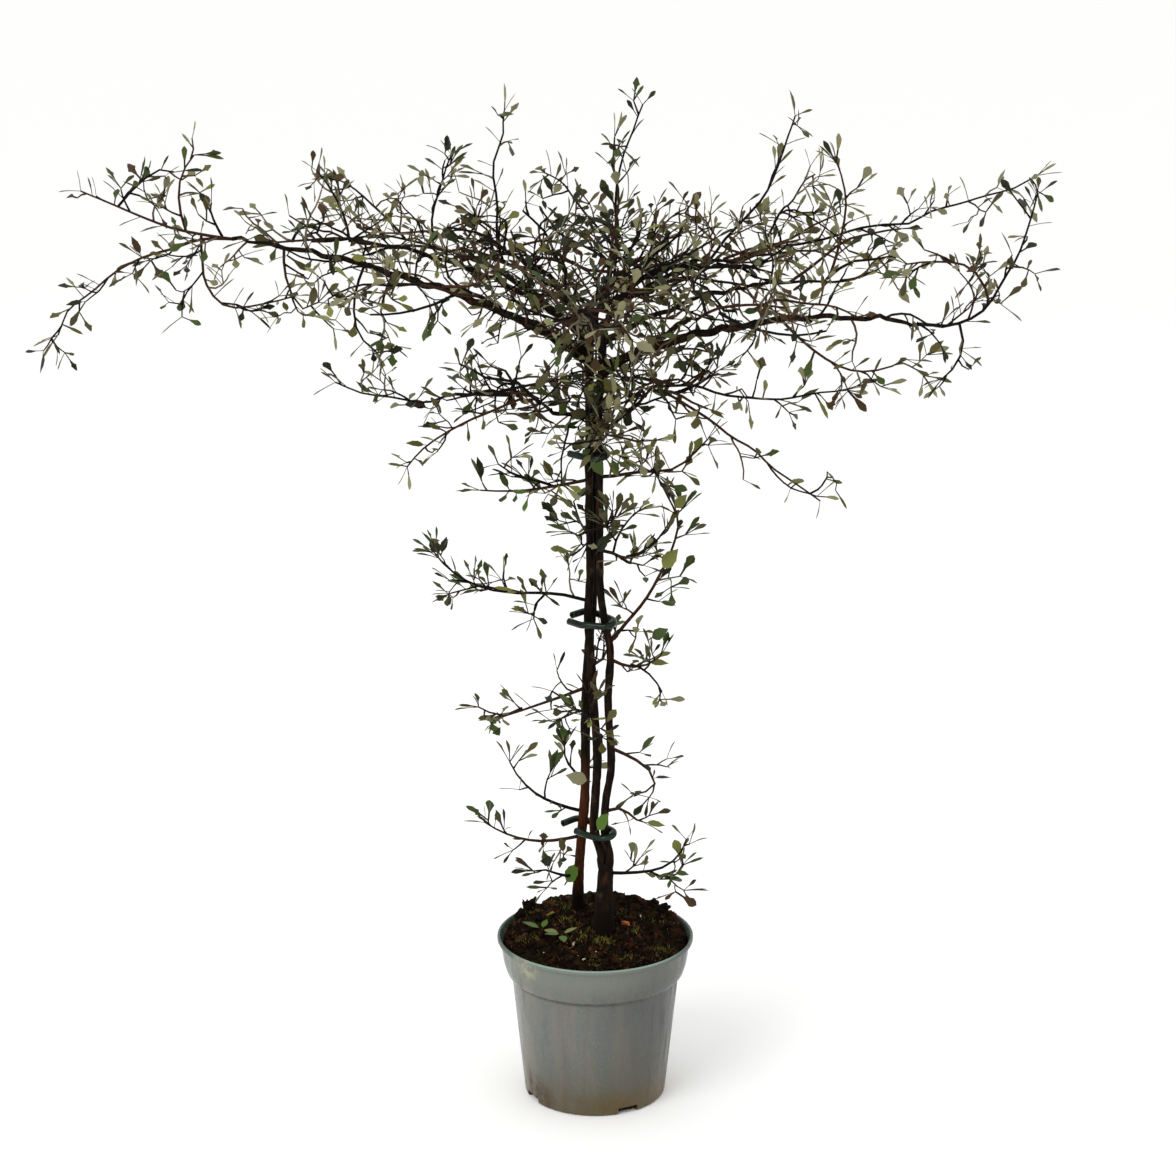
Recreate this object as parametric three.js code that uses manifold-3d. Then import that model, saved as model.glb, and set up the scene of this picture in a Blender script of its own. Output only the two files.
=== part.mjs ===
// A wire netting bush in its nursery pot, trained up as a small standard. Three wiry stems wind
// round each other to a flat, wide crown of tangled boughs, with short side sprays up the stems
// and a grey plastic pot full of mossy soil below.
//
// Millimetres. X runs to the right, Y to the back and Z up. The origin is the middle of the
// flat underside of the pot.

import * as THREE from 'three';
import { mergeVertices } from 'three/addons/utils/BufferGeometryUtils.js';
import loadManifold from 'manifold-3d';

const wasm = await loadManifold();
wasm.setup();

// The gap that neighbouring pieces keep.
const CLEARANCE = 0.3;

const POT = {
  height: 161, lipRadius: 95, lipHeight: 4.5, wall: 1.8,
  bandTopRadius: 92, bandFootRadius: 89, bandFootHeight: 135,
  bodyTopRadius: 81, bodyTopHeight: 121, baseRadius: 68.5, floor: 2.2,
  sides: 36, notches: 4, notchWidth: 21, notchHeight: 6.5, notchDepth: 9, notchTurn: 0.48,
};

const SOIL = {
  edgeHeight: 153, domeRise: 16, backRise: 12, lumpHeight: 2.6, sideHeight: 139, topHeight: 200,
  seatRadius: 20, rings: 6, sides: 24,
};

// Each stem runs through a few places on its axis, foot first, and tapers from foot to tip.
// The first two places of a foot, and the last two below a fork, lie straight above each other,
// so that the ends are cut level.
const STEMS = {
  trunk: {
    radii: [8.6, 7.4], flare: 2.6, sides: 10, steps: 8,
    course: [[8, -10, 168], [8, -10, 174], [9, -8, 205], [10, -5, 229], [10, -5, 236]],
  },
  stem_centre: {
    radii: [4.4, 3.6], flare: 0, sides: 6, steps: 24,
    course: [
      [6, -2.6, 236.6], [6, -2.6, 244], [-1, 0, 268], [0, 0, 300], [2, 0, 340], [-2, 0, 400],
      [-5, 0, 450], [-7, 1, 480], [-5, 2, 520], [-6, 2, 600], [-6, 2, 690], [-5, 3, 760],
    ],
  },
  stem_right: {
    radii: [3.9, 3.3], flare: 0, sides: 6, steps: 24,
    course: [
      [13.8, -7.2, 236.6], [13.8, -7.2, 244], [9, -9, 270], [10, -8, 300], [15, -4, 332],
      [12, -4, 400], [14, -3, 448], [9, -6, 476], [5, -8, 505], [4, -8, 540], [4, -8, 600],
      [3, -7, 680], [8, -5, 756],
    ],
  },
  stem_left: {
    radii: [5, 3.4], flare: 1.4, sides: 6, steps: 24,
    course: [
      [-17, 40, 171], [-17, 40, 177], [-16, 27, 215], [-13, 16, 258], [-10, 11, 300],
      [-9, 10, 400], [-6, 10.5, 450], [-2, 11.5, 500], [-1, 11.5, 600], [-4, 11.5, 690],
      [-13, 10, 758],
    ],
  },
};

// A bough leaves a stem at a height, ends at a place, and its middle is bowed off the straight
// line between them.
const BOUGHS = {
  bough_left: { on: 'stem_left', height: 734, to: [-330, 0, 838], bow: [0, -8, 17], radii: [4.4, 1.7] },
  bough_left_upper: { on: 'stem_left', height: 750, to: [-198, 42, 826], bow: [0, 0, 14], radii: [3, 1.6] },
  bough_left_back: { on: 'stem_centre', height: 738, to: [-118, 88, 806], bow: [0, 8, 10], radii: [3.2, 1.6] },
  bough_left_front: { on: 'stem_left', height: 724, to: [-104, -84, 800], bow: [-12, 0, 8], radii: [3.4, 1.6] },
  bough_right: { on: 'stem_right', height: 720, to: [302, -50, 768], bow: [0, -6, 24], radii: [4.4, 1.6] },
  bough_right_outer: { on: 'stem_right', height: 744, to: [168, 8, 796], bow: [0, 0, 12], radii: [2.8, 1.5] },
  bough_right_back: { on: 'stem_centre', height: 748, to: [112, 88, 804], bow: [0, 6, 12], radii: [3, 1.6] },
  bough_right_front: { on: 'stem_right', height: 712, to: [92, -98, 784], bow: [10, 0, 10], radii: [3.2, 1.6] },
  bough_front: { on: 'stem_right', height: 730, to: [-10, -118, 792], bow: [-4, 0, 12], radii: [3, 1.6] },
  bough_back: { on: 'stem_centre', height: 726, to: [14, 118, 792], bow: [0, 6, 10], radii: [3.2, 1.6] },
  bough_low_left: { on: 'stem_left', height: 671, to: [-46, -12, 686], bow: [0, 0, -3], radii: [2.4, 1.5] },
  bough_low_right: { on: 'stem_right', height: 664, to: [42, -22, 694], bow: [0, 0, -5], radii: [2.4, 1.5] },
};
const BOUGH_SIDES = 5;
const BOUGH_STEPS = 6;

// A tangle fills an oval space round its heart. Its own stem runs from the tip that it grows on
// through the heart, and further leaders fan out of that by a rule.
function tangle(on, heart, radii, sprays = []) {
  return { on, heart, radii, sprays };
}

// A spray is a few named leaders with twigs close round them. The first grows on a stem at a
// height, or on a tip, and each further one leaves the first at a share of its length.
function sprays(on, height, ...leaders) {
  return { on, height, sprays: leaders };
}

const MASSES = {
  crown_heart: tangle('stem_centre', [8, 2, 828], [92, 72, 60], [
    { at: 0.6, to: [49, 0, 972], bow: [-10, 0, 8] },
    { at: 0.5, to: [14, -6, 945], bow: [8, 0, 0] },
  ]),
  crown_inner_left: tangle('stem_left', [-98, 8, 822], [78, 66, 56], [
    { at: 0.7, to: [-77, 0, 967], bow: [-10, 0, 6] },
  ]),
  crown_inner_right: tangle('stem_right', [102, 0, 816], [80, 66, 58], [
    { at: 0.8, to: [183, 4, 963], bow: [8, 0, -12] },
  ]),
  crown_left_upper: tangle('bough_left_upper', [-264, 24, 832], [74, 62, 40], [
    { at: 0.3, to: [-262, 20, 908], bow: [6, 0, 0] },
  ]),
  crown_left_back: tangle('bough_left_back', [-176, 118, 824], [88, 70, 44], [
    { at: 0.4, to: [-127, 96, 915], bow: [-6, 0, 4] },
    { at: 0.7, to: [-262, 216, 866], bow: [0, 0, 10] },
  ]),
  crown_left_front: tangle('bough_left_front', [-154, -120, 822], [86, 66, 44], [
    { at: 0.7, to: [-236, -210, 812], bow: [0, 0, 10] },
  ]),
  crown_front: tangle('bough_front', [-14, -168, 812], [90, 62, 44], [
    { at: 0.6, to: [34, -292, 790], bow: [0, 0, 14] },
  ]),
  crown_back: tangle('bough_back', [10, 174, 812], [94, 66, 44], [
    { at: 0.6, to: [-58, 304, 862], bow: [0, 0, 10] },
  ]),
  crown_right_front: tangle('bough_right_front', [138, -134, 804], [86, 64, 46], [
    { at: 0.7, to: [228, -226, 800], bow: [0, 0, 12] },
  ]),
  crown_right_back: tangle('bough_right_back', [166, 118, 820], [88, 70, 44], [
    { at: 0.7, to: [423, 70, 892], bow: [0, 10, -10] },
    { at: 0.5, to: [222, 226, 872], bow: [0, 0, 8] },
  ]),
  crown_right_outer: tangle('bough_right_outer', [232, 8, 812], [74, 62, 44], [
    { at: 0.5, to: [213, 12, 922], bow: [10, 0, 0] },
  ]),
  crown_far_left: sprays('bough_left', null,
    { to: [-479, 0, 888] },
    { at: 0.22, to: [-505, -16, 730], bow: [-12, 0, 22] },
    { at: 0.3, to: [-352, 6, 924], bow: [-14, 0, 0] },
    { at: 0.12, to: [-284, -12, 788], bow: [-22, 0, -18] },
    { at: 0.75, to: [-368, 10, 892], bow: [0, 6, 12] }),
  crown_far_right: sprays('bough_right', null,
    { to: [398, -52, 868] },
    { at: 0.35, to: [262, -60, 822], bow: [20, 0, 16] },
    { at: 0.15, to: [296, -75, 720], bow: [12, 0, -8] }),
  low_left: tangle('bough_low_left', [-80, -16, 700], [66, 50, 40], [
    { at: 0.6, to: [-252, -20, 714], bow: [0, 0, -9] },
    { at: 0.4, to: [-182, -34, 622], bow: [-6, 0, 10] },
  ]),
  low_right: tangle('bough_low_right', [68, -26, 706], [64, 50, 40], [
    { at: 0.5, to: [243, -26, 706], bow: [0, 0, -8] },
    { at: 0.3, to: [218, -34, 592], bow: [0, 0, 5] },
  ]),
  low_front: sprays('stem_right', 656,
    { to: [12, -92, 682], bow: [0, 0, -6] },
    { at: 0.4, to: [58, -62, 668], bow: [0, -6, 0] },
    { at: 0.5, to: [-42, -66, 664], bow: [0, -6, 0] }),
  low_back: sprays('stem_left', 650,
    { to: [-14, 104, 694], bow: [0, 0, -8] },
    { at: 0.4, to: [48, 70, 690], bow: [0, 8, 0] },
    { at: 0.5, to: [-70, 72, 672], bow: [0, 8, 0] }),
  side_left_high: sprays('stem_left', 612,
    { to: [-122, -6, 606], bow: [0, 0, -5] },
    { at: 0.35, to: [-100, -20, 642], bow: [0, 0, -6] }),
  side_left_middle: sprays('stem_left', 492,
    { to: [-150, -12, 506], bow: [0, 0, 5] },
    { at: 0.5, to: [-158, -18, 560], bow: [-8, 0, -8] },
    { at: 0.35, to: [-62, -14, 468], bow: [0, 0, 3] }),
  side_left_lower: sprays('stem_left', 408,
    { to: [-108, 2, 372], bow: [0, 0, 3] },
    { at: 0.7, to: [-122, -4, 402], bow: [0, 0, -8] }),
  side_left_curl: sprays('stem_left', 282,
    { to: [-86, -6, 352], bow: [-10, 0, -10] }),
  side_left_low: sprays('stem_left', 256,
    { to: [-118, -2, 284], bow: [0, 0, -12] }),
  side_left_foot: sprays('stem_left', 213,
    { to: [-72, 10, 226], bow: [0, 0, -3] }),
  side_right_high: sprays('stem_right', 618,
    { to: [114, -14, 664], bow: [0, 0, -12] },
    { at: 0.45, to: [58, -34, 612], bow: [0, -4, 6] }),
  side_right_arch: sprays('stem_right', 456,
    { to: [46, -18, 640], bow: [36, 0, -4] }),
  side_right_middle: sprays('stem_right', 548,
    { to: [56, -28, 558], bow: [0, 0, -7] },
    { at: 0.4, to: [50, -4, 520], bow: [4, 0, 2] }),
  side_right_lower: sprays('stem_right', 440,
    { to: [72, -10, 454], bow: [0, 0, -9] },
    { at: 0.4, to: [62, -14, 396], bow: [8, 0, 8] }),
  side_right_hook: sprays('stem_right', 352,
    { to: [22, -8, 302], bow: [38, 0, -2] }),
  side_right_low: sprays('stem_right', 290,
    { to: [58, -14, 272], bow: [0, 0, 4] }),
  side_right_foot: sprays('trunk', 226,
    { to: [90, -16, 278], bow: [14, 0, -16] },
    { at: 0.45, to: [94, -12, 246], bow: [0, 0, -6] }),
  side_front_high: sprays('stem_centre', 566,
    { to: [-22, -64, 582], bow: [0, 0, -5] }),
  side_front_low: sprays('stem_centre', 386,
    { to: [-10, -58, 402], bow: [0, 0, -5] }),
  side_back_high: sprays('stem_left', 552,
    { to: [-24, 98, 580], bow: [0, 0, -8] },
    { at: 0.5, to: [26, 84, 562], bow: [0, 0, -4] }),
  side_back_middle: sprays('stem_left', 430,
    { to: [24, 88, 452], bow: [0, 0, -8] }),
  side_back_low: sprays('stem_left', 312,
    { to: [-34, 84, 336], bow: [0, 0, -8] }),
};

// The rule that every mass grows by: leaders in a tangle, twigs along a leader, leaves on both.
const RULE = {
  goldenTurn: 2.39996, nextTurn: 1.3, attempts: 4, tangleLeaders: 4, leaderRadii: [1.9, 1.3], leaderSteps: 3,
  twigSpacing: 50, twigRadii: [0.85, 0.8], twigSteps: 1, twigSpread: 1.05, twigReach: [26, 46],
  leafLength: 29, leafWidth: 11, leafThickness: 1.4, leafSpacing: 45, leafSpread: 0.85,
  leafWidestAt: 0.58, leafThickestAt: 0.2, sideSink: 0.5, tipSink: 1, twigSides: 3,
  shortestEdges: [0.25, 0.2, 0.16, 0.12, 0.09, 0.06],
};

// A tie is a soft tube round the stems, with its two ends left long on the left-hand side.
const TIE = {
  tubeRadius: 3.3, sides: 5, steps: 24, endGap: 7.6, tail: 18, openTurn: 0.75,
  places: 13, heights: [264, 474, 636],
};

const plastic = (colour, roughness) => new THREE.MeshStandardMaterial({ color: colour, roughness, metalness: 0 });
const potPlastic = plastic(0x7d8683, 0.55);
const soilMatter = plastic(0x2b1d14, 0.95);
const stemBark = plastic(0x2a211d, 0.85);
const twigsAndLeaves = plastic(0x59603f, 0.7);
const tieTube = plastic(0x1f3b33, 0.5);

const X_AXIS = new THREE.Vector3(1, 0, 0);
const UP = new THREE.Vector3(0, 0, 1);
const at = ([x, y, z]) => new THREE.Vector3(x, y, z);
const mix = (low, high, share) => low + (high - low) * share;

// A number from 0 to 1 that depends on its keys alone, so that leaving one twig out never moves
// another.
function chance(...keys) {
  const weights = [12.9898, 78.233, 37.719, 53.531];
  const sum = keys.reduce((total, key, place) => total + key * weights[place], 0);
  const wave = Math.sin(sum) * 43758.5453;
  return wave - Math.floor(wave);
}

// The solid that a closed geometry bounds, with its faces turned outwards.
function solidOf(geometry) {
  const bare = geometry.clone();
  bare.deleteAttribute('normal');
  bare.deleteAttribute('uv');
  const merged = mergeVertices(bare, 1e-5);
  const places = merged.attributes.position.array;
  const faces = [];
  let volume = 0;
  for (let i = 0; i < merged.index.count; i += 3) {
    const [a, b, c] = [0, 1, 2].map((corner) => merged.index.getX(i + corner));
    if (a === b || b === c || c === a) continue;
    faces.push([a, b, c]);
    const [p, q, r] = [a, b, c].map((corner) => new THREE.Vector3().fromArray(places, corner * 3));
    volume += p.dot(q.cross(r));
  }
  const outward = volume > 0 ? faces : faces.map(([a, b, c]) => [a, c, b]);
  const mesh = new wasm.Mesh({
    numProp: 3,
    vertProperties: new Float32Array(places),
    triVerts: new Uint32Array(outward.flat()),
  });
  return new wasm.Manifold(mesh);
}

function geometryOf(solid) {
  const mesh = solid.getMesh();
  const geometry = new THREE.BufferGeometry();
  geometry.setAttribute('position', new THREE.BufferAttribute(new Float32Array(mesh.vertProperties), 3));
  geometry.setIndex(new THREE.BufferAttribute(new Uint32Array(mesh.triVerts), 1));
  geometry.computeVertexNormals();
  return geometry;
}

// The largest connected piece of a solid: what a cut or a leaf that missed its twig leaves loose
// is dropped.
function largestPiece(solid) {
  const pieces = solid.decompose();
  return pieces.reduce((best, piece) => (piece.volume() > best.volume() ? piece : best));
}

// Whether two corners of a solid lie on one place, where it would be pinched.
function isPinched(solid) {
  const mesh = solid.getMesh();
  const corners = Array.from({ length: mesh.numVert }, (_, i) => (
    [0, 1, 2].map((axis) => mesh.vertProperties[mesh.numProp * i + axis].toFixed(3)).join(' ')
  ));
  return new Set(corners).size < mesh.numVert;
}

// A solid without its shortest edges. Taking those out can pinch it or part a leaf from its twig,
// so a finer setting is tried until neither happens.
function simplified(solid) {
  for (const shortest of RULE.shortestEdges) {
    const simple = solid.asOriginal().simplify(shortest);
    if (simple.decompose().length === 1 && !isPinched(simple)) return simple;
  }
  return solid;
}

// A tube along a curve, closed at both ends, whose radius follows the share of the way along.
function tubeAlong(curve, radiusAt, sides, steps) {
  const tube = new THREE.CylinderGeometry(1, 1, 1, sides, steps);
  const frames = curve.computeFrenetFrames(steps, false);
  const places = tube.attributes.position;
  const place = new THREE.Vector3();
  for (let i = 0; i < places.count; i += 1) {
    place.fromBufferAttribute(places, i);
    const share = place.y + 0.5;
    const step = Math.round(share * steps);
    const radius = radiusAt(share);
    const centre = curve.getPointAt(share);
    centre.addScaledVector(frames.binormals[step], place.x * radius);
    centre.addScaledVector(frames.normals[step], place.z * radius);
    places.setXYZ(i, centre.x, centre.y, centre.z);
  }
  return solidOf(tube);
}

function arc(from, to, bow) {
  const middle = from.clone().add(to).multiplyScalar(0.5);
  return new THREE.QuadraticBezierCurve3(from, middle.addScaledVector(bow, 2), to);
}

// A curve that sets off along a line and bends to its end.
function carryOn(from, line, to) {
  return new THREE.QuadraticBezierCurve3(from, from.clone().addScaledVector(line, 0.4 * from.distanceTo(to)), to);
}

// The same curve ended early, so that the leaf on its end reaches to where it ended before.
function leavingRoomForLeaf(curve) {
  const back = curve.v1.clone().sub(curve.v2).normalize();
  curve.v2.addScaledVector(back, RULE.leafLength - RULE.tipSink);
  return curve;
}

// The straight stretches that a tube of a few steps really follows, for what grows on it.
function stretchesOf(curve, steps) {
  const path = new THREE.CurvePath();
  for (let i = 0; i < steps; i += 1) {
    path.add(new THREE.LineCurve3(curve.getPointAt(i / steps), curve.getPointAt((i + 1) / steps)));
  }
  return path;
}

// Every limb, twig and leaf is also kept as a row of short capsules, which is what the test for
// touching works on.
const capsules = [];

function capsulesAlong(curve, radiusAt, steps, node) {
  return Array.from({ length: steps }, (_, i) => ({
    a: curve.getPointAt(i / steps),
    b: curve.getPointAt((i + 1) / steps),
    radius: radiusAt((i + 0.5) / steps),
    node,
  }));
}

// The least distance between two straight stretches.
function distanceBetween(p, q, r, s) {
  const d1 = q.clone().sub(p);
  const d2 = s.clone().sub(r);
  const gap = p.clone().sub(r);
  const [a, e, f] = [d1.dot(d1), d2.dot(d2), d2.dot(gap)];
  const [b, c] = [d1.dot(d2), d1.dot(gap)];
  const spread = a * e - b * b;
  const clamp = (value) => Math.min(1, Math.max(0, value));
  let first = spread > 1e-9 ? clamp((b * f - c * e) / spread) : 0;
  let second = (b * first + f) / e;
  if (second < 0 || second > 1) {
    second = clamp(second);
    first = clamp((b * second - c) / a);
  }
  return p.clone().addScaledVector(d1, first).distanceTo(r.clone().addScaledVector(d2, second));
}

function isClear(pieces, node, except = null) {
  return pieces.every((piece) => capsules.every((other) => {
    if (other.node === node || other.node === except) return true;
    const room = piece.radius + other.radius + 2 * CLEARANCE;
    if (piece.a.distanceTo(other.a) > room + piece.a.distanceTo(piece.b) + other.a.distanceTo(other.b)) {
      return true;
    }
    return distanceBetween(piece.a, piece.b, other.a, other.b) > room;
  }));
}

// Whether the outer part of a twig or leaf also keeps off the rest of its own mass.
function isFree(a, b, radius, node) {
  const outer = a.clone().lerp(b, 0.3);
  return capsules.every((other) => (
    other.node !== node
      || distanceBetween(outer, b, other.a, other.b) > radius + Math.min(other.radius, RULE.leafWidth / 5)
  ));
}

const plant = new THREE.Group();

function add(name, solid, material) {
  const mesh = new THREE.Mesh(geometryOf(solid), material);
  mesh.name = name;
  plant.add(mesh);
}

// The pot: a thin turned wall with a rolled lip, a deep band under it and a flat floor. Notches
// through the foot of the wall let water out.
function potSolid() {
  const outer = [
    [0, 0], [POT.baseRadius, 0], [POT.bodyTopRadius, POT.bodyTopHeight],
    [POT.bandFootRadius - 3, POT.bandFootHeight - 6], [POT.bandFootRadius, POT.bandFootHeight],
    [POT.bandTopRadius, POT.height - POT.lipHeight], [POT.lipRadius, POT.height - POT.lipHeight + 0.8],
    [POT.lipRadius, POT.height - 1], [POT.lipRadius - 1, POT.height],
  ];
  const inner = [
    [POT.bandTopRadius - POT.wall, POT.height], [POT.bandFootRadius - POT.wall, POT.bandFootHeight],
    [POT.bodyTopRadius - POT.wall, POT.bodyTopHeight - POT.wall],
    [POT.baseRadius - POT.wall, POT.floor], [0, POT.floor],
  ];
  const profile = [...outer, ...inner].map(([radius, height]) => new THREE.Vector2(radius, height));
  const turned = new THREE.LatheGeometry(profile, POT.sides);
  turned.rotateX(Math.PI / 2);
  let pot = solidOf(turned);
  for (let i = 0; i < POT.notches; i += 1) {
    const notch = new THREE.BoxGeometry(POT.notchDepth * 2, POT.notchWidth, POT.notchHeight * 2);
    notch.translate(POT.baseRadius, 0, 0);
    notch.rotateZ((2 * Math.PI * i) / POT.notches + POT.notchTurn);
    pot = pot.subtract(solidOf(notch));
  }
  return pot;
}

function soilLevel(x, y) {
  const out = Math.hypot(x, y) / POT.bandTopRadius;
  const dome = SOIL.edgeHeight + SOIL.domeRise * (1 - out * out) + (SOIL.backRise * y) / POT.bandTopRadius;
  const lumps = Math.sin(x * 0.13 + 1.2) * Math.cos(y * 0.17) + Math.sin((x + y) * 0.23) * 0.6;
  return dome + SOIL.lumpHeight * lumps * Math.min(1, 4 * (1 - out));
}

// The soil fills the pot as a low, lumpy dome that rises to the back, where it stands a little
// above the lip. A level seat under each stem foot meets its flat cut.
function soilSolid() {
  const innerRadius = (height) => {
    const [low, high] = height < POT.bodyTopHeight
      ? [[POT.baseRadius, POT.floor], [POT.bodyTopRadius, POT.bodyTopHeight]]
      : [[POT.bandFootRadius, POT.bandFootHeight], [POT.bandTopRadius, POT.height]];
    const share = (height - low[1]) / (high[1] - low[1]);
    return mix(low[0], high[0], share) - POT.wall - 3 * CLEARANCE;
  };
  const floorHeight = POT.floor + CLEARANCE;
  const side = [floorHeight, POT.bodyTopHeight - 2 * POT.wall, POT.bandFootHeight + 1, SOIL.sideHeight];
  const profile = [[0, floorHeight], ...side.map((height) => [innerRadius(height), height])];
  const edge = innerRadius(SOIL.edgeHeight - SOIL.backRise);
  for (let ring = SOIL.rings; ring >= 0; ring -= 1) {
    profile.push([(edge * ring) / SOIL.rings, SOIL.topHeight]);
  }
  const turned = new THREE.LatheGeometry(profile.map(([r, z]) => new THREE.Vector2(r, z)), SOIL.sides);
  turned.rotateX(Math.PI / 2);
  const places = turned.attributes.position;
  const feet = [STEMS.trunk.course[0], STEMS.stem_left.course[0]];
  for (let i = 0; i < places.count; i += 1) {
    if (places.getZ(i) < SOIL.topHeight - 1) continue;
    const [x, y] = [places.getX(i), places.getY(i)];
    const seat = feet.find(([footX, footY]) => Math.hypot(x - footX, y - footY) < SOIL.seatRadius);
    places.setZ(i, seat ? seat[2] - CLEARANCE : soilLevel(x, y));
  }
  return solidOf(turned);
}

// Stems: the trunk is a short foot that forks into two, and the third comes up behind it.
const stemCurves = {};
const stemRadius = {};
for (const [name, stem] of Object.entries(STEMS)) {
  stemCurves[name] = new THREE.CatmullRomCurve3(stem.course.map(at));
  const flareShare = 0.12 * (name === 'trunk' ? 5 : 1);
  stemRadius[name] = (share) => (
    mix(stem.radii[0], stem.radii[1], share) + stem.flare * Math.max(0, 1 - share / flareShare) ** 2
  );
}

const stemTube = (name, extra) => (
  tubeAlong(stemCurves[name], (share) => stemRadius[name](share) + extra, STEMS[name].sides, STEMS[name].steps)
);

// The place on a stem's axis at a height.
function onAxis(name, height) {
  const curve = stemCurves[name];
  let [low, high] = [0, 1];
  for (let i = 0; i < 30; i += 1) {
    const middle = (low + high) / 2;
    if (curve.getPoint(middle).z < height) low = middle;
    else high = middle;
  }
  return curve.getPoint(low);
}

// Whatever grows out of the stems is cut clear of this, which is the stems and a little more.
const stemRoom = Object.keys(STEMS).map((name) => stemTube(name, CLEARANCE)).reduce((all, one) => all.add(one));

for (const name of Object.keys(STEMS)) {
  add(name, stemTube(name, 0), stemBark);
  capsules.push(...capsulesAlong(stemCurves[name], stemRadius[name], STEMS[name].steps, name));
}

const boughCurves = {};
const boughRadius = (bough) => (share) => mix(bough.radii[0], bough.radii[1], share);
let boughRoom = stemRoom;
for (const [name, bough] of Object.entries(BOUGHS)) {
  const curve = arc(onAxis(bough.on, bough.height), at(bough.to), at(bough.bow));
  boughCurves[name] = curve;
  const radiusAt = boughRadius(bough);
  const limb = tubeAlong(curve, radiusAt, BOUGH_SIDES, BOUGH_STEPS);
  add(name, largestPiece(limb.subtract(boughRoom)), stemBark);
  const room = tubeAlong(curve, (share) => radiusAt(share) + CLEARANCE, BOUGH_SIDES, BOUGH_STEPS);
  boughRoom = boughRoom.add(room);
  capsules.push(...capsulesAlong(curve, radiusAt, BOUGH_STEPS, name));
}

// The way that a tie takes round the stems at a height, as a taut band would, from one loose end
// to the other. The ends run on past each other on the left-hand side, one above the other.
function tieCurve(height) {
  const rounds = Object.keys(STEMS).filter((name) => name !== 'trunk').map((name) => ({
    centre: onAxis(name, height),
    radius: mix(STEMS[name].radii[0], STEMS[name].radii[1], height / 745) + TIE.tubeRadius + 2.5 * CLEARANCE,
  }));
  const last = Math.PI - TIE.openTurn;
  const band = Array.from({ length: TIE.places }, (_, i) => {
    const share = i / (TIE.places - 1);
    const turn = mix(-last, last, share);
    const out = new THREE.Vector3(Math.cos(turn), Math.sin(turn), 0);
    const reachOf = (round) => round.centre.dot(out) + round.radius;
    const held = rounds.reduce((best, round) => (reachOf(round) > reachOf(best) ? round : best));
    return held.centre.clone().addScaledVector(out, held.radius).setZ(height + TIE.endGap * share);
  });
  const inward = new THREE.Vector3(Math.sin(TIE.openTurn), -Math.cos(TIE.openTurn), 0);
  const outward = new THREE.Vector3(-Math.sin(TIE.openTurn), -Math.cos(TIE.openTurn), 0);
  const start = band[0].clone().addScaledVector(inward, -TIE.tail);
  const finish = band[band.length - 1].clone().addScaledVector(outward, TIE.tail);
  return new THREE.CatmullRomCurve3([start, ...band, finish]);
}

TIE.heights.forEach((height, i) => {
  const name = ['tie_low', 'tie_middle', 'tie_high'][i];
  const curve = tieCurve(height);
  add(name, tubeAlong(curve, () => TIE.tubeRadius, TIE.sides, TIE.steps), tieTube);
  capsules.push(...capsulesAlong(curve, () => TIE.tubeRadius, TIE.steps, name));
});

// The first leader of a mass starts a gap beyond the tip that it grows on, in line with it, or
// on the axis of its stem, to be cut clear of it.
function rootOf(mass) {
  if (mass.height) return { from: onAxis(mass.on, mass.height), line: null, radius: RULE.leaderRadii[0] };
  const curve = stemCurves[mass.on] ?? boughCurves[mass.on];
  const line = curve.getTangent(1);
  const limb = STEMS[mass.on] ?? BOUGHS[mass.on];
  return { from: curve.getPoint(1).addScaledVector(line, CLEARANCE), line, radius: 0.95 * limb.radii[1] };
}

// The leaders of a mass as named arcs: the stem of a tangle with those that fan out of it, then
// the sprays.
function leadersOf(mass, key) {
  const { from, line } = rootOf(mass);
  const leaders = [];
  if (mass.heart) {
    const heart = at(mass.heart);
    const out = heart.clone().sub(from).setZ(0).normalize().multiplyScalar(0.55 * mass.radii[0]);
    const stemEnd = heart.clone().add(out);
    leaders.push(leavingRoomForLeaf(carryOn(from, line, stemEnd)));
    const stem = stretchesOf(leaders[0], RULE.leaderSteps);
    for (let i = 0; i < RULE.tangleLeaders; i += 1) {
      const turn = (i + chance(key, i)) * RULE.goldenTurn + key;
      const height = [0.85, -0.6, 0.5, -0.1][i % 4];
      const end = new THREE.Vector3(Math.cos(turn), Math.sin(turn), height);
      end.multiply(at(mass.radii)).multiplyScalar(0.9).add(heart);
      const start = stem.getPoint(0.25 + 0.15 * i);
      const bow = new THREE.Vector3(0, 0, 10 * (chance(key, i, 1) - 0.4));
      leaders.push(leavingRoomForLeaf(arc(start, end, bow)));
    }
  }
  for (const spray of mass.sprays) {
    const start = leaders.length ? stretchesOf(leaders[0], RULE.leaderSteps).getPoint(spray.at) : from;
    const onTip = !leaders.length && line;
    const curve = onTip ? carryOn(start, line, at(spray.to)) : arc(start, at(spray.to), at(spray.bow));
    leaders.push(leavingRoomForLeaf(curve));
  }
  return leaders;
}

const twigRadius = (radii) => (share) => mix(radii[0], radii[1], share);

// A direction that leaves a curve at a share of its length, opened from it by an angle and
// turned round it.
function sideways(curve, share, open, turn) {
  const along = curve.getTangent(share);
  const level = new THREE.Vector3().crossVectors(Math.abs(along.z) > 0.9 ? X_AXIS : UP, along).normalize();
  const across = new THREE.Vector3().crossVectors(along, level);
  const aside = level.multiplyScalar(Math.cos(turn)).addScaledVector(across, Math.sin(turn));
  return along.multiplyScalar(Math.cos(open)).addScaledVector(aside, Math.sin(open));
}

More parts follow.
